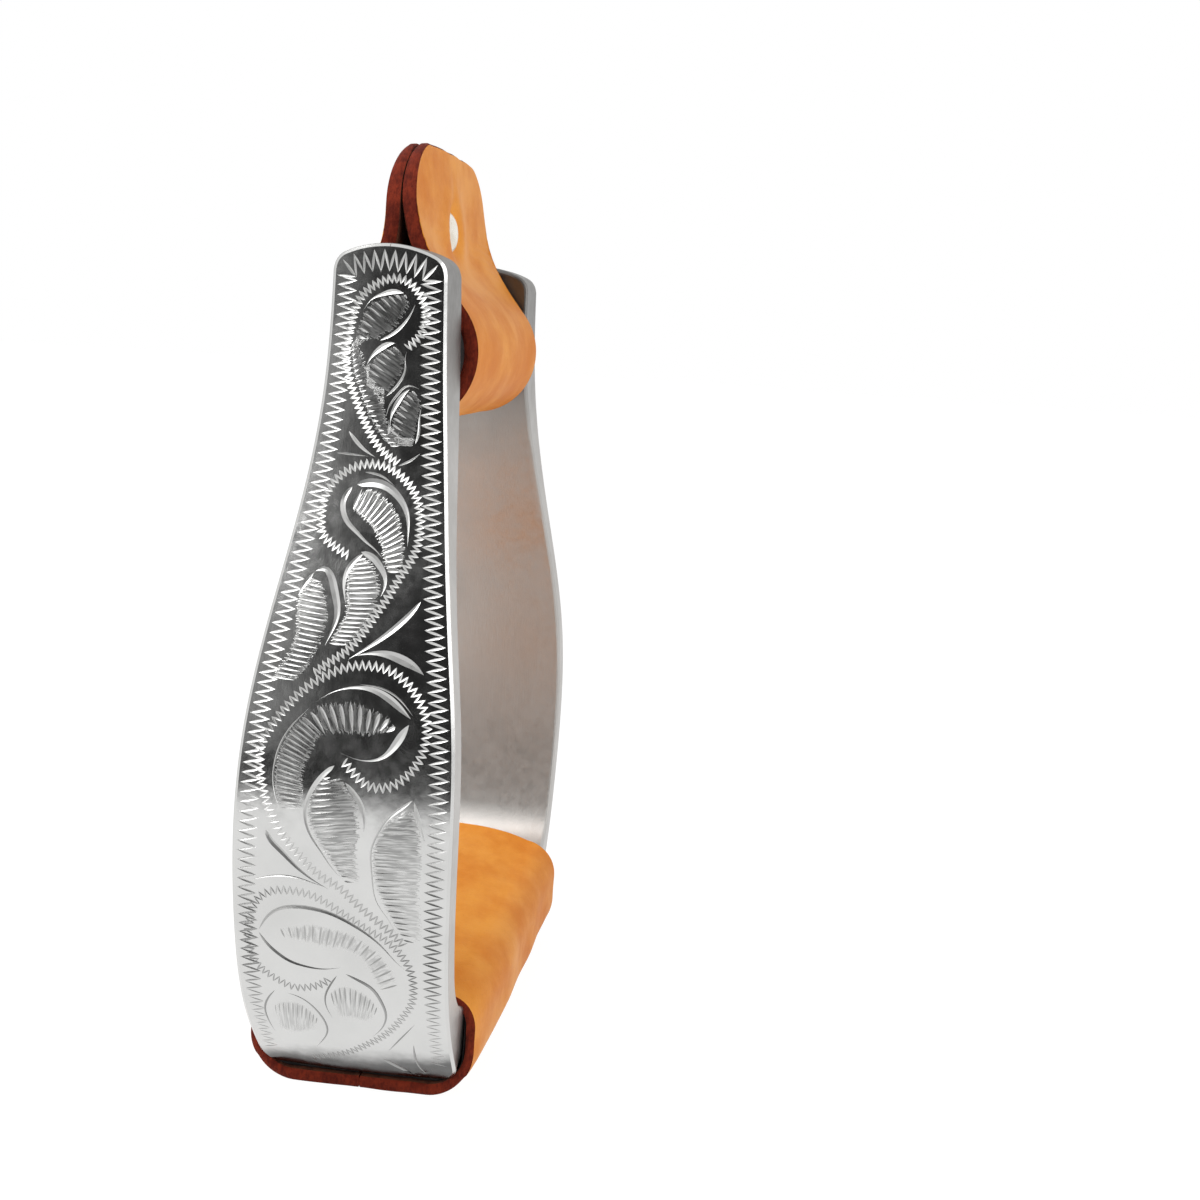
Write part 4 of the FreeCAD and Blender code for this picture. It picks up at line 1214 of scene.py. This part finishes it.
    def spindles(self, strokes: Sequence[Stroke]) -> bpy.types.Object:
        """Make the cutting bodies of a batch: a four-sided spindle laid along every stroke."""
        mesh = bmesh.new()
        blanks: dict[int, bpy.types.Mesh] = {}
        for stroke in strokes:
            route = np.array(stroke.route)
            length = float(run_along(route)[-1])
            pieces = max(6, min(26, round(length / 0.8)))
            if pieces not in blanks:
                blanks[pieces] = spindle_blank(self.sides, pieces, CastFinish.CUT.value)
            first = len(mesh.verts)
            mesh.from_mesh(blanks[pieces])
            mesh.verts.ensure_lookup_table()
            line = evenly(route, 41)
            aside = square_to(line)
            power = math.log(0.5) / math.log(stroke.peak)
            for vert in mesh.verts[first:]:
                share = math.acos(max(-1.0, min(1.0, vert.co.z))) / math.pi
                swell = math.sin(math.pi * share**power)
                girth = math.hypot(vert.co.x, vert.co.y)
                across = vert.co.x / girth * swell * stroke.width / 2 if girth > 1e-6 else 0.0
                rise = vert.co.y / girth * swell * stroke.depth if girth > 1e-6 else 0.0
                spot = share * 40
                step = min(39, int(spot))
                part = spot - step
                base = line[step] * (1 - part) + line[step + 1] * part
                there = base + aside[min(40, round(spot))] * across
                vert.co = self.shape.on_face(there[0], there[1], rise)
        data = bpy.data.meshes.new("engraving")
        mesh.to_mesh(data)
        mesh.free()
        for blank in blanks.values():
            bpy.data.meshes.remove(blank)
        cutter = bpy.data.objects.new("engraving", data)
        bpy.context.scene.collection.objects.link(cutter)
        return cutter

    def cut(self, piece: bpy.types.Object) -> None:
        """Cut every stroke into the piece, batch by batch."""
        self.draw()
        batches = self.batches()
        for strokes in batches:
            cutter = self.spindles(strokes)
            modifier = piece.modifiers.new("engrave", "BOOLEAN")
            modifier.operation = "DIFFERENCE"
            modifier.solver = "MANIFOLD"
            modifier.object = cutter
            graph = bpy.context.evaluated_depsgraph_get()
            result = bpy.data.meshes.new_from_object(piece.evaluated_get(graph))
            piece.modifiers.remove(modifier)
            bpy.data.objects.remove(cutter)
            if not result.polygons:
                log.warning("a batch of %d strokes left no mesh and is skipped", len(strokes))
                continue
            old = piece.data
            piece.data = result
            bpy.data.meshes.remove(old)
        self.sweep(piece.data)
        log.info("%d strokes in %d batches, %d faces", len(self.strokes), len(batches),
                 len(piece.data.polygons))

    def sweep(self, data: bpy.types.Mesh) -> None:
        """Take away the specks of metal that the cuts have left loose."""
        mesh = bmesh.new()
        mesh.from_mesh(data)
        left, specks = set(mesh.verts), []
        while left:
            found = [left.pop()]
            for vert in found:
                near = {edge.other_vert(vert) for edge in vert.link_edges} & left
                left -= near
                found.extend(near)
            if len(found) < self.speck:
                specks.extend(found)
        bmesh.ops.delete(mesh, geom=specks, context="VERTS")
        mesh.to_mesh(data)
        mesh.free()

    def mark(self, piece: bpy.types.Object) -> None:
        """Mark where the leaves are shaded, and how their shading runs."""
        data = piece.data
        shape = self.shape
        count = len(data.vertices)
        places = np.empty(count * 3)
        data.vertices.foreach_get("co", places)
        places = places.reshape(-1, 3) / MM
        spots = places[:, 1:] - (0.0, shape.base)
        depths, hatches = np.full(count, -2.0), np.zeros((count, 3))
        for number, comb in enumerate(COMBS):
            roots, tips = (evenly(self.trace(side, 60), 240) for side in (comb.roots, comb.tips))
            outline = np.concatenate([roots, tips[::-1]])
            low, high = outline.min(axis=0) - 2.0, outline.max(axis=0) + 2.0
            close = (places[:, 0] < -45) & (spots > low).all(axis=1) & (spots < high).all(axis=1)
            near = np.nonzero(close)[0]
            depth = self.depth(spots[near], outline[::8])
            better = depth > depths[near]
            near, depth = near[better], depth[better]
            depths[near] = depth
            spread = (comb.count * 2.6, 1.3, 0.0)
            hatches[near] = self.hatch(spots[near], roots, tips) * spread + number * 7.0
        data.attributes.new("leaf", "FLOAT", "POINT").data.foreach_set("value", depths)
        layer = data.attributes.new("hatch", "FLOAT_VECTOR", "POINT")
        layer.data.foreach_set("vector", hatches.ravel())

    @staticmethod
    def hatch(points: np.ndarray, roots: np.ndarray, tips: np.ndarray) -> np.ndarray:
        """Return each point's share along a leaf and from its roots to its tips."""
        found = np.zeros((len(points), 3))
        across = tips - roots
        for row, point in enumerate(points):
            share = ((point - roots) * across).sum(axis=1) / (across**2).sum(axis=1)
            share = np.clip(share, -0.3, 1.3)
            gaps = np.linalg.norm(roots + across * share[:, None] - point, axis=1)
            best = gaps.argmin()
            found[row, :2] = best / len(roots), share[best]
        return found

    @classmethod
    def depth(cls, points: np.ndarray, outline: np.ndarray) -> np.ndarray:
        """Return how deep each point lies inside a closed outline, below 0 outside it."""
        gaps = np.full(len(points), np.inf)
        for start, end in zip(outline, np.roll(outline, -1, axis=0)):
            along = end - start
            size = max(1e-9, float(along @ along))
            share = np.clip((points - start) @ along / size, 0.0, 1.0)
            gaps = np.minimum(gaps, np.linalg.norm(start + share[:, None] * along - points, axis=1))
        return np.where(cls.inside(points, outline), gaps, -gaps)

    @staticmethod
    def inside(points: np.ndarray, outline: np.ndarray) -> np.ndarray:
        """Tell which points lie inside a closed outline."""
        held = np.zeros(len(points), bool)
        following = np.roll(outline, -1, axis=0)
        for (y_0, z_0), (y_1, z_1) in zip(outline, following):
            if z_0 == z_1:
                continue
            crossing = (points[:, 1] > min(z_0, z_1)) & (points[:, 1] <= max(z_0, z_1))
            reach = y_0 + (points[:, 1] - z_0) * (y_1 - y_0) / (z_1 - z_0)
            held ^= crossing & (points[:, 0] < reach)
        return held


# Roll, tread and small pieces


@dataclass
class OnNeckBar:
    """A piece that turns on the neck bar and leans with the fin."""

    axis: float = 156.0
    lean: float = 5.0

    def seated(self, spot: Vector) -> Vector:
        """Return the place on the leaning fin of a point beside the axis."""
        turn = Matrix.Rotation(math.radians(-self.lean), 3, "X")
        return turn @ spot + Vector((0.0, 0.0, self.axis))


@dataclass
class LeatherRoll(OnNeckBar):
    """Leather roll on the sleeve, with its two flaps riveted together as a fin."""

    sleeve: float = 12.0
    leather: float = 3.0
    half_length: float = 37.0
    lift_angle: float = 34.0
    gap: float = 0.15
    fin: float = 44.0
    fin_crown: float = 1.2
    near_corner: float = 16.0
    burnish: float = 2.3
    far_corner: float = 17.0
    close_middle: float = 21.5
    close_end: float = 37.0
    rivet: float = 26.5
    lift_share: float = 0.52
    close_share: float = 0.46
    cuts: tuple[int, int, int] = (250, 4, 96)

    def top(self, x: float) -> float:
        """Return the fin's height above the axis at a place along the roll."""
        corner = self.near_corner if x < 0 else self.far_corner
        level = self.fin - self.fin_crown * (x / self.half_length)**2
        past = abs(x) - (self.half_length - corner)
        if past > 0:
            shoulder = self.fin - self.fin_crown * (1 - corner / self.half_length)**2
            level = shoulder - corner + math.sqrt(max(0.0, corner**2 - past**2))
        return level + 0.25 * ripple((x, 3.0, 0.0), 7.0)

    def half_path(self, x: float, offset: float) -> np.ndarray:
        """Return the section's line from the bottom of the roll to the top of the back flap."""
        radius, gap = self.sleeve + offset, self.gap + offset
        angle = math.radians(self.lift_angle)
        close = self.close_middle + (self.close_end - self.close_middle) * (x / self.half_length)**2
        start = np.array((radius * math.cos(angle), radius * math.sin(angle)))
        upright = np.array((gap, close))
        reach = self.lift_share * (close - start[1])
        pull = start + np.array((-math.sin(angle), math.cos(angle))) * reach
        ease = upright - np.array((0.0, self.close_share * (close - start[1])))
        share = np.linspace(0, 1, 40)[:, None]
        bend = ((1 - share)**3 * start + 3 * (1 - share)**2 * share * pull
                + 3 * (1 - share) * share**2 * ease + share**3 * upright)
        wrap = arc_points((0.0, 0.0), radius, -90.0, self.lift_angle, 60)
        line = np.concatenate([wrap, bend[1:], [(gap, self.fin + 4.0)]])
        top = self.top(x)
        above = np.nonzero((line[:, 1] > top) & (np.arange(len(line)) > 59))[0][0]
        low, high = line[above - 1], line[above]
        tip = low + (high - low) * (top - low[1]) / (high[1] - low[1])
        return np.concatenate([line[:above], [tip]])

    def swelling(self, x: float, level: float, front: bool) -> float:
        """Return how far the grain side stands out round the rivet and in the wrinkles."""
        from_rivet = math.hypot(x, level - self.rivet)
        rise = 0.45 * math.exp(-((from_rivet - 8.5) / 3.4)**2)
        rise -= (1.25 if front else 0.15) * math.exp(-(from_rivet / 5.4)**4)
        crease = math.exp(-(x / 2.4)**2) * math.exp(-((level - self.rivet - 6.0) / 6.0)**2)
        rise -= (0.55 if front else 0.2) * crease
        if level > 12:
            flow = level + 0.10 * abs(x) + 1.1 * ripple((x, level, 5.0 if front else 9.0), 9.0)
            zone = math.exp(-((level - 23.5) / 5.0)**2) * (1 - math.exp(-(x / 7.5)**2))
            zone *= 0.55 + 0.45 * ripple((x, 0.0, 2.0 if front else 7.0), 11.0)
            rise += 0.13 * zone * math.sin(2 * math.pi * flow / 2.3)
        return rise + 0.22 * ripple((x, level, 1.0 if front else 4.0), 16.0)

    def build(self) -> bmesh.types.BMesh:
        """Bend the leather round the sleeve and up into the fin."""
        along, through, across = self.cuts
        half = along // 2
        places = gathered(self.half_length, across, 0.6)
        skins = []
        for offset in (0.0, self.leather):
            rows = []
            for x in places:
                back = evenly(self.half_path(float(x), offset), half + 1)
                front = (back * (-1, 1))[::-1]
                rows.append(np.concatenate([front, back[1:]]))
            skins.append(rows)

        def place(i: int, j: int, k: int) -> Vector:
            """Return the place of a corner of the leather."""
            share = j / through
            x = float(places[k])
            inner, outer = skins[0][k][i], skins[1][k][i]
            y, z = inner + (outer - inner) * share
            before, after = skins[1][k][max(0, i - 1)], skins[1][k][min(along, i + 1)]
            ahead = (after - before) / np.linalg.norm(after - before)
            soft = cut_round(share)
            if i in (0, along):
                y, z = np.array((y, z)) + ahead * (soft if i == 0 else -soft)
            if k in (0, across):
                x -= math.copysign(soft + 0.12 * ripple((y, z, share * 2), 2.4, x), x)
            if j == through:
                rise = self.swelling(x, z, y < 0)
                y, z = np.array((y, z)) + np.array((ahead[1], -ahead[0])) * rise
            if z > self.fin - 13.0:
                pressed = min(1.0, (z - self.fin + 13.0) / 12.0)**2
                pressed *= 0.6 - 0.4 * x / self.half_length
                y -= pressed * self.burnish * (y + 3.15) / 6.3
            return self.seated(Vector((x, y, z)))

        return slab(self.cuts, place)


@dataclass
class TreadWrap:
    """A layer wrapped round the tread bar and butted underneath: the leather or the padding."""

    half_width: float
    bottom: float
    top: float
    corner_under: float
    corner_top: float
    half_length: float
    thickness: float
    base: float = 5.0
    crown: float = 2.9
    seam: float = 0.1
    swell: float = 0.3
    trim: float = 1.0
    near_draw: float = 1.5
    near_drop: float = 1.8
    far_flare: float = 0.3
    far_lift: float = 1.6
    held: float = 1.0
    groove: float = 1.0
    groove_side: Point = (6.6, 5.0)
    groove_end: Point = (47.6, 45.2)
    cuts: tuple[int, int, int] = (150, 4, 110)

    def section(self, grow: float) -> np.ndarray:
        """Return the line of the section, grown by a distance, from seam to seam."""
        half, bottom, top = self.half_width + grow, self.bottom - grow, self.top + grow
        under, above = self.corner_under + grow, self.corner_top + grow
        shoulder = top - self.crown
        flat = half - above
        rise = [(flat * share, top - self.crown * share**2) for share in np.linspace(1, 0, 30)]
        side = np.concatenate([
            [(self.seam / 2, bottom)],
            arc_points((half - under, bottom + under), under, -90.0, 0.0, 16),
            arc_points((flat, shoulder - above), above, 0.0, 90.0, 16)[:-1],
            rise,
        ])
        return np.concatenate([side, (side * (-1, 1))[-2::-1]])

    def drawn(self, x: float, y: float, z: float, follow: float) -> Point:
        """Draw the layer in at the near foot, and let its lip flare a little at the far one.

        Args:
            x: place along the tread.
            y: place across the tread.
            z: height over the casting's underside.
            follow: share in which this skin of the layer follows at the near foot.

        Returns:
            The new place across and height.
        """
        lip = (self.half_length - abs(x)) / 7.0
        high = max(0.0, z) / (self.top + self.thickness)
        if x > 0:
            return (y * (1 + self.far_flare / self.half_width * math.exp(-1.6 * lip) * high),
                    z + self.far_lift * high * math.exp(-0.55 * lip))
        return (y * (1 - follow * self.near_draw / self.half_width * math.exp(-lip)),
                z - follow * self.near_drop * high * math.exp(-0.55 * lip))

    def build(self) -> bmesh.types.BMesh:
        """Wrap the layer, with soft cut edges and a little unevenness."""
        along, through, across = self.cuts
        inner = evenly(self.section(0.0), along + 1)
        outer = evenly(self.section(self.thickness), along + 1)
        places = gathered(self.half_length, across, 0.5)

        def place(i: int, j: int, k: int) -> Vector:
            """Return the place of a corner of the layer."""
            share = j / through
            x = float(places[k])
            y, z = inner[i] + (outer[i] - inner[i]) * share
            ahead = outer[min(along, i + 1)] - outer[max(0, i - 1)]
            ahead /= np.linalg.norm(ahead)
            soft = cut_round(share)
            if k in (0, across):
                wave = 0.35 * ripple((y, z, 1.0), 9.0, x)
                x -= math.copysign(soft + wave, x)
            if i in (0, along):
                y += math.copysign(soft * 0.25, y)
            y, z = self.drawn(x, float(y), float(z), self.held + (1 - self.held) * share)
            beside = smooth_share(abs(y), 17.0, 23.0)
            above = smooth_share(z - self.bottom, 4.0, 12.0)
            x *= 1 - self.trim / self.half_length * beside * above
            if j == through and self.swell:
                lip = math.exp(-(self.half_length - abs(x)) / 3.5)
                rise = self.swell * ripple((x, y, z), 17.0) + 0.25 * lip
                if z < 0:
                    rise = min(0.0, rise)
                y, z = np.array((y, z)) + np.array((ahead[1], -ahead[0])) * rise
            if z < 0:
                near_seam = smooth_share(abs(y), *self.groove_side)
                near_middle = smooth_share(abs(x), *self.groove_end)
                z += self.groove * share * near_seam * near_middle
            return Vector((x, y, max(0.0, z + self.base)))

        return slab(self.cuts, place)


@dataclass
class Sleeve(OnNeckBar):
    """Black sleeve that turns on the neck bar, slit along its top."""

    bore: float = 6.4
    outside: float = 12.0
    slit: float = 0.8
    half_length: float = 38.55
    cuts: tuple[int, int, int] = (96, 3, 12)

    def build(self) -> bmesh.types.BMesh:
        """Bend the sleeve from one side of the slit to the other."""
        along, through, across = self.cuts

        def place(i: int, j: int, k: int) -> Vector:
            """Return the place of a corner of the sleeve."""
            radius = self.bore + (self.outside - self.bore) * j / through
            open_angle = math.asin(self.slit / 2 / radius)
            angle = math.pi / 2 + open_angle + (2 * math.pi - 2 * open_angle) * i / along
            x = self.half_length * (2 * k / across - 1)
            if k in (0, across) and j in (0, through):
                x -= math.copysign(0.35, x)
            return self.seated(Vector((x, radius * math.cos(angle), radius * math.sin(angle))))

        return slab(self.cuts, place)


@dataclass
class Rivet(OnNeckBar):
    """Rivet through the fin: a domed cap in front and a flat burr behind."""

    height: float = 26.5
    face: float = 3.15
    segments: int = 64
    cap: Route = ((0.0, 0.55), (1.1, 0.5), (2.1, 0.34), (3.0, 0.06), (3.7, -0.28), (4.2, -0.66),
                  (4.45, -0.9), (4.5, -1.05), (4.42, -1.2), (1.6, -1.2), (1.6, -2.9))
    burr: Route = ((0.0, 0.75), (0.7, 0.8), (1.1, 1.02), (1.5, 1.12), (1.9, 1.08), (2.2, 0.95),
                   (3.4, 0.9), (4.1, 0.82), (4.4, 0.6), (4.5, 0.3), (4.45, 0.0), (1.8, 0.0))

    def spun(self, profile: Route, way: int) -> bmesh.types.BMesh:
        """Spin a profile about the rivet's axis.

        Args:
            profile: distance from the axis and height above the leather.
            way: -1 for the front of the fin, 1 for its back.

        Returns:
            The closed mesh in metres.
        """
        mesh = bmesh.new()
        edges = []
        last = None
        for distance, rise in profile:
            vert = mesh.verts.new((distance, way * (self.face + rise), 0.0))
            if last:
                edges.append(mesh.edges.new((last, vert)))
            last = vert
        bmesh.ops.spin(mesh, geom=mesh.verts[:] + edges, axis=(0, 1, 0), cent=(0, 0, 0),
                       angle=2 * math.pi, steps=self.segments, use_merge=True)
        bmesh.ops.remove_doubles(mesh, verts=mesh.verts, dist=1e-4)
        bmesh.ops.holes_fill(mesh, edges=[edge for edge in mesh.edges if edge.is_boundary])
        bmesh.ops.recalc_face_normals(mesh, faces=mesh.faces)
        turn = Matrix.Rotation(math.radians(-self.lean), 4, "X")
        rise = Matrix.Translation((0.0, 0.0, self.height))
        seat = Matrix.Translation((0.0, 0.0, self.axis)) @ turn @ rise
        bmesh.ops.transform(mesh, matrix=Matrix.Scale(MM, 4) @ seat, verts=mesh.verts)
        return outward(mesh)


@dataclass
class Lacing:
    """Waxed thread across the butt seam under the tread, slanting either way by turns."""

    count: int = 14
    reach: float = 42.05
    length: float = 9.0
    radius: float = 0.55
    height: float = 0.85
    end_rise: float = 0.62
    slant: float = 24.0

    def build(self) -> bmesh.types.BMesh:
        """Lay one rounded stitch after another."""
        mesh = bmesh.new()
        blank = spindle_blank(12, 16)
        for number in range(self.count):
            place = self.reach * (2 * number / (self.count - 1) - 1)
            angle = math.radians(self.slant if number % 2 else -self.slant)
            first = len(mesh.verts)
            mesh.from_mesh(blank)
            mesh.verts.ensure_lookup_table()
            for vert in mesh.verts[first:]:
                along = vert.co.z
                stout = (1 - abs(along)**6)**0.5 / max(0.05, math.sqrt(max(0.0, 1 - along**2)))
                stout = min(1.6, stout)
                across = vert.co.x * self.radius * stout
                rise = vert.co.y * self.radius * stout + self.end_rise * (abs(along)**4)
                spot = Vector((across, along * self.length / 2, self.height + rise))
                vert.co = (Matrix.Rotation(angle, 3, "Z") @ spot + Vector((place, 0.0, 0.0))) * MM
        bpy.data.meshes.remove(blank)
        return outward(mesh)


def settle(piece: bpy.types.Object, body: str, slot: str, *nodes: str) -> None:
    """Let a piece ride on its body and stand for its nodes."""
    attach(piece, body)
    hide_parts(*nodes)
    log.info("%s: %d faces", piece.name, len(piece.data.polygons))


def main() -> None:
    """Build the camera, the studio and every piece of the stirrup in order."""
    logging.basicConfig(level=logging.INFO, format="%(message)s")
    view = Viewpoint()
    view.build()
    Studio().build()
    workshop = Workshop()
    shape = LegShape()

    casting = finished(CastFrame(shape).build(), "casting", workshop.metal(), CAST_SHARP)
    engraver = Engraver(shape, view)
    engraver.cut(casting)
    engraver.mark(casting)
    casting.data.shade_smooth()
    casting.data.set_sharp_from_angle(angle=math.radians(ENGRAVED_SHARP))
    settle(casting, "stirrup", "polished_aluminium", "stirrup_frame")

    leather = workshop.leather()
    roll = finished(LeatherRoll().build(), "leather_roll", leather, LEATHER_SHARP)
    settle(roll, "roll", "tan_leather", "roll_cover")
    sleeve = finished(Sleeve().build(), "sleeve", [workshop.get(SLEEVE)] * 3, SLEEVE_SHARP)
    settle(sleeve, "roll", "black_sleeve", "bar_roller")
    rivet = Rivet()
    cap = finished(rivet.spun(rivet.cap, -1), "rivet_dome", [workshop.get(NICKEL)], RIVET_SHARP)
    settle(cap, "roll", "rivet_nickel", "rivet_cap")
    burr = finished(rivet.spun(rivet.burr, 1), "rivet_burr", [workshop.get(NICKEL)], RIVET_SHARP)
    settle(burr, "roll", "rivet_nickel", "rivet_back")

    half_bar = shape.neck_breadth / 2 + FOOT_BREADTH * (shape.breadth - shape.neck_breadth) / 2
    cover = TreadWrap(half_width=half_bar + 1.5, bottom=-2.3, top=19.9, corner_under=8.0,
                      corner_top=5.4, half_length=50.75, thickness=2.6, held=0.5)
    tread = finished(cover.build(), "tread_leather", leather, LEATHER_SHARP)
    settle(tread, "stirrup", "tan_leather", "tread_cover")
    padding = TreadWrap(half_width=half_bar + 0.1, bottom=-1.2, top=17.0, corner_under=5.0,
                        corner_top=3.4, half_length=49.3, thickness=1.1, crown=1.9, seam=1.0,
                        swell=0.0, near_draw=0.7, near_drop=0.9, far_flare=0.0, far_lift=0.6,
                        held=0.0, groove=0.0, cuts=(120, 3, 60))
    pad = finished(padding.build(), "padding", [workshop.get(PADDING)] * 3, LEATHER_SHARP)
    settle(pad, "stirrup", "black_padding", "tread_pad")
    thread = finished(Lacing().build(), "seam_thread", [workshop.get(THREAD)], LEATHER_SHARP)
    settle(thread, "stirrup", "waxed_thread", "tread_lacing")

    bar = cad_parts["neck_bar"]
    bar.data.materials.clear()
    bar.data.materials.append(workshop.get(STEEL))
    log.info("neck_bar keeps its shape")


if __name__ == "__main__":
    main()
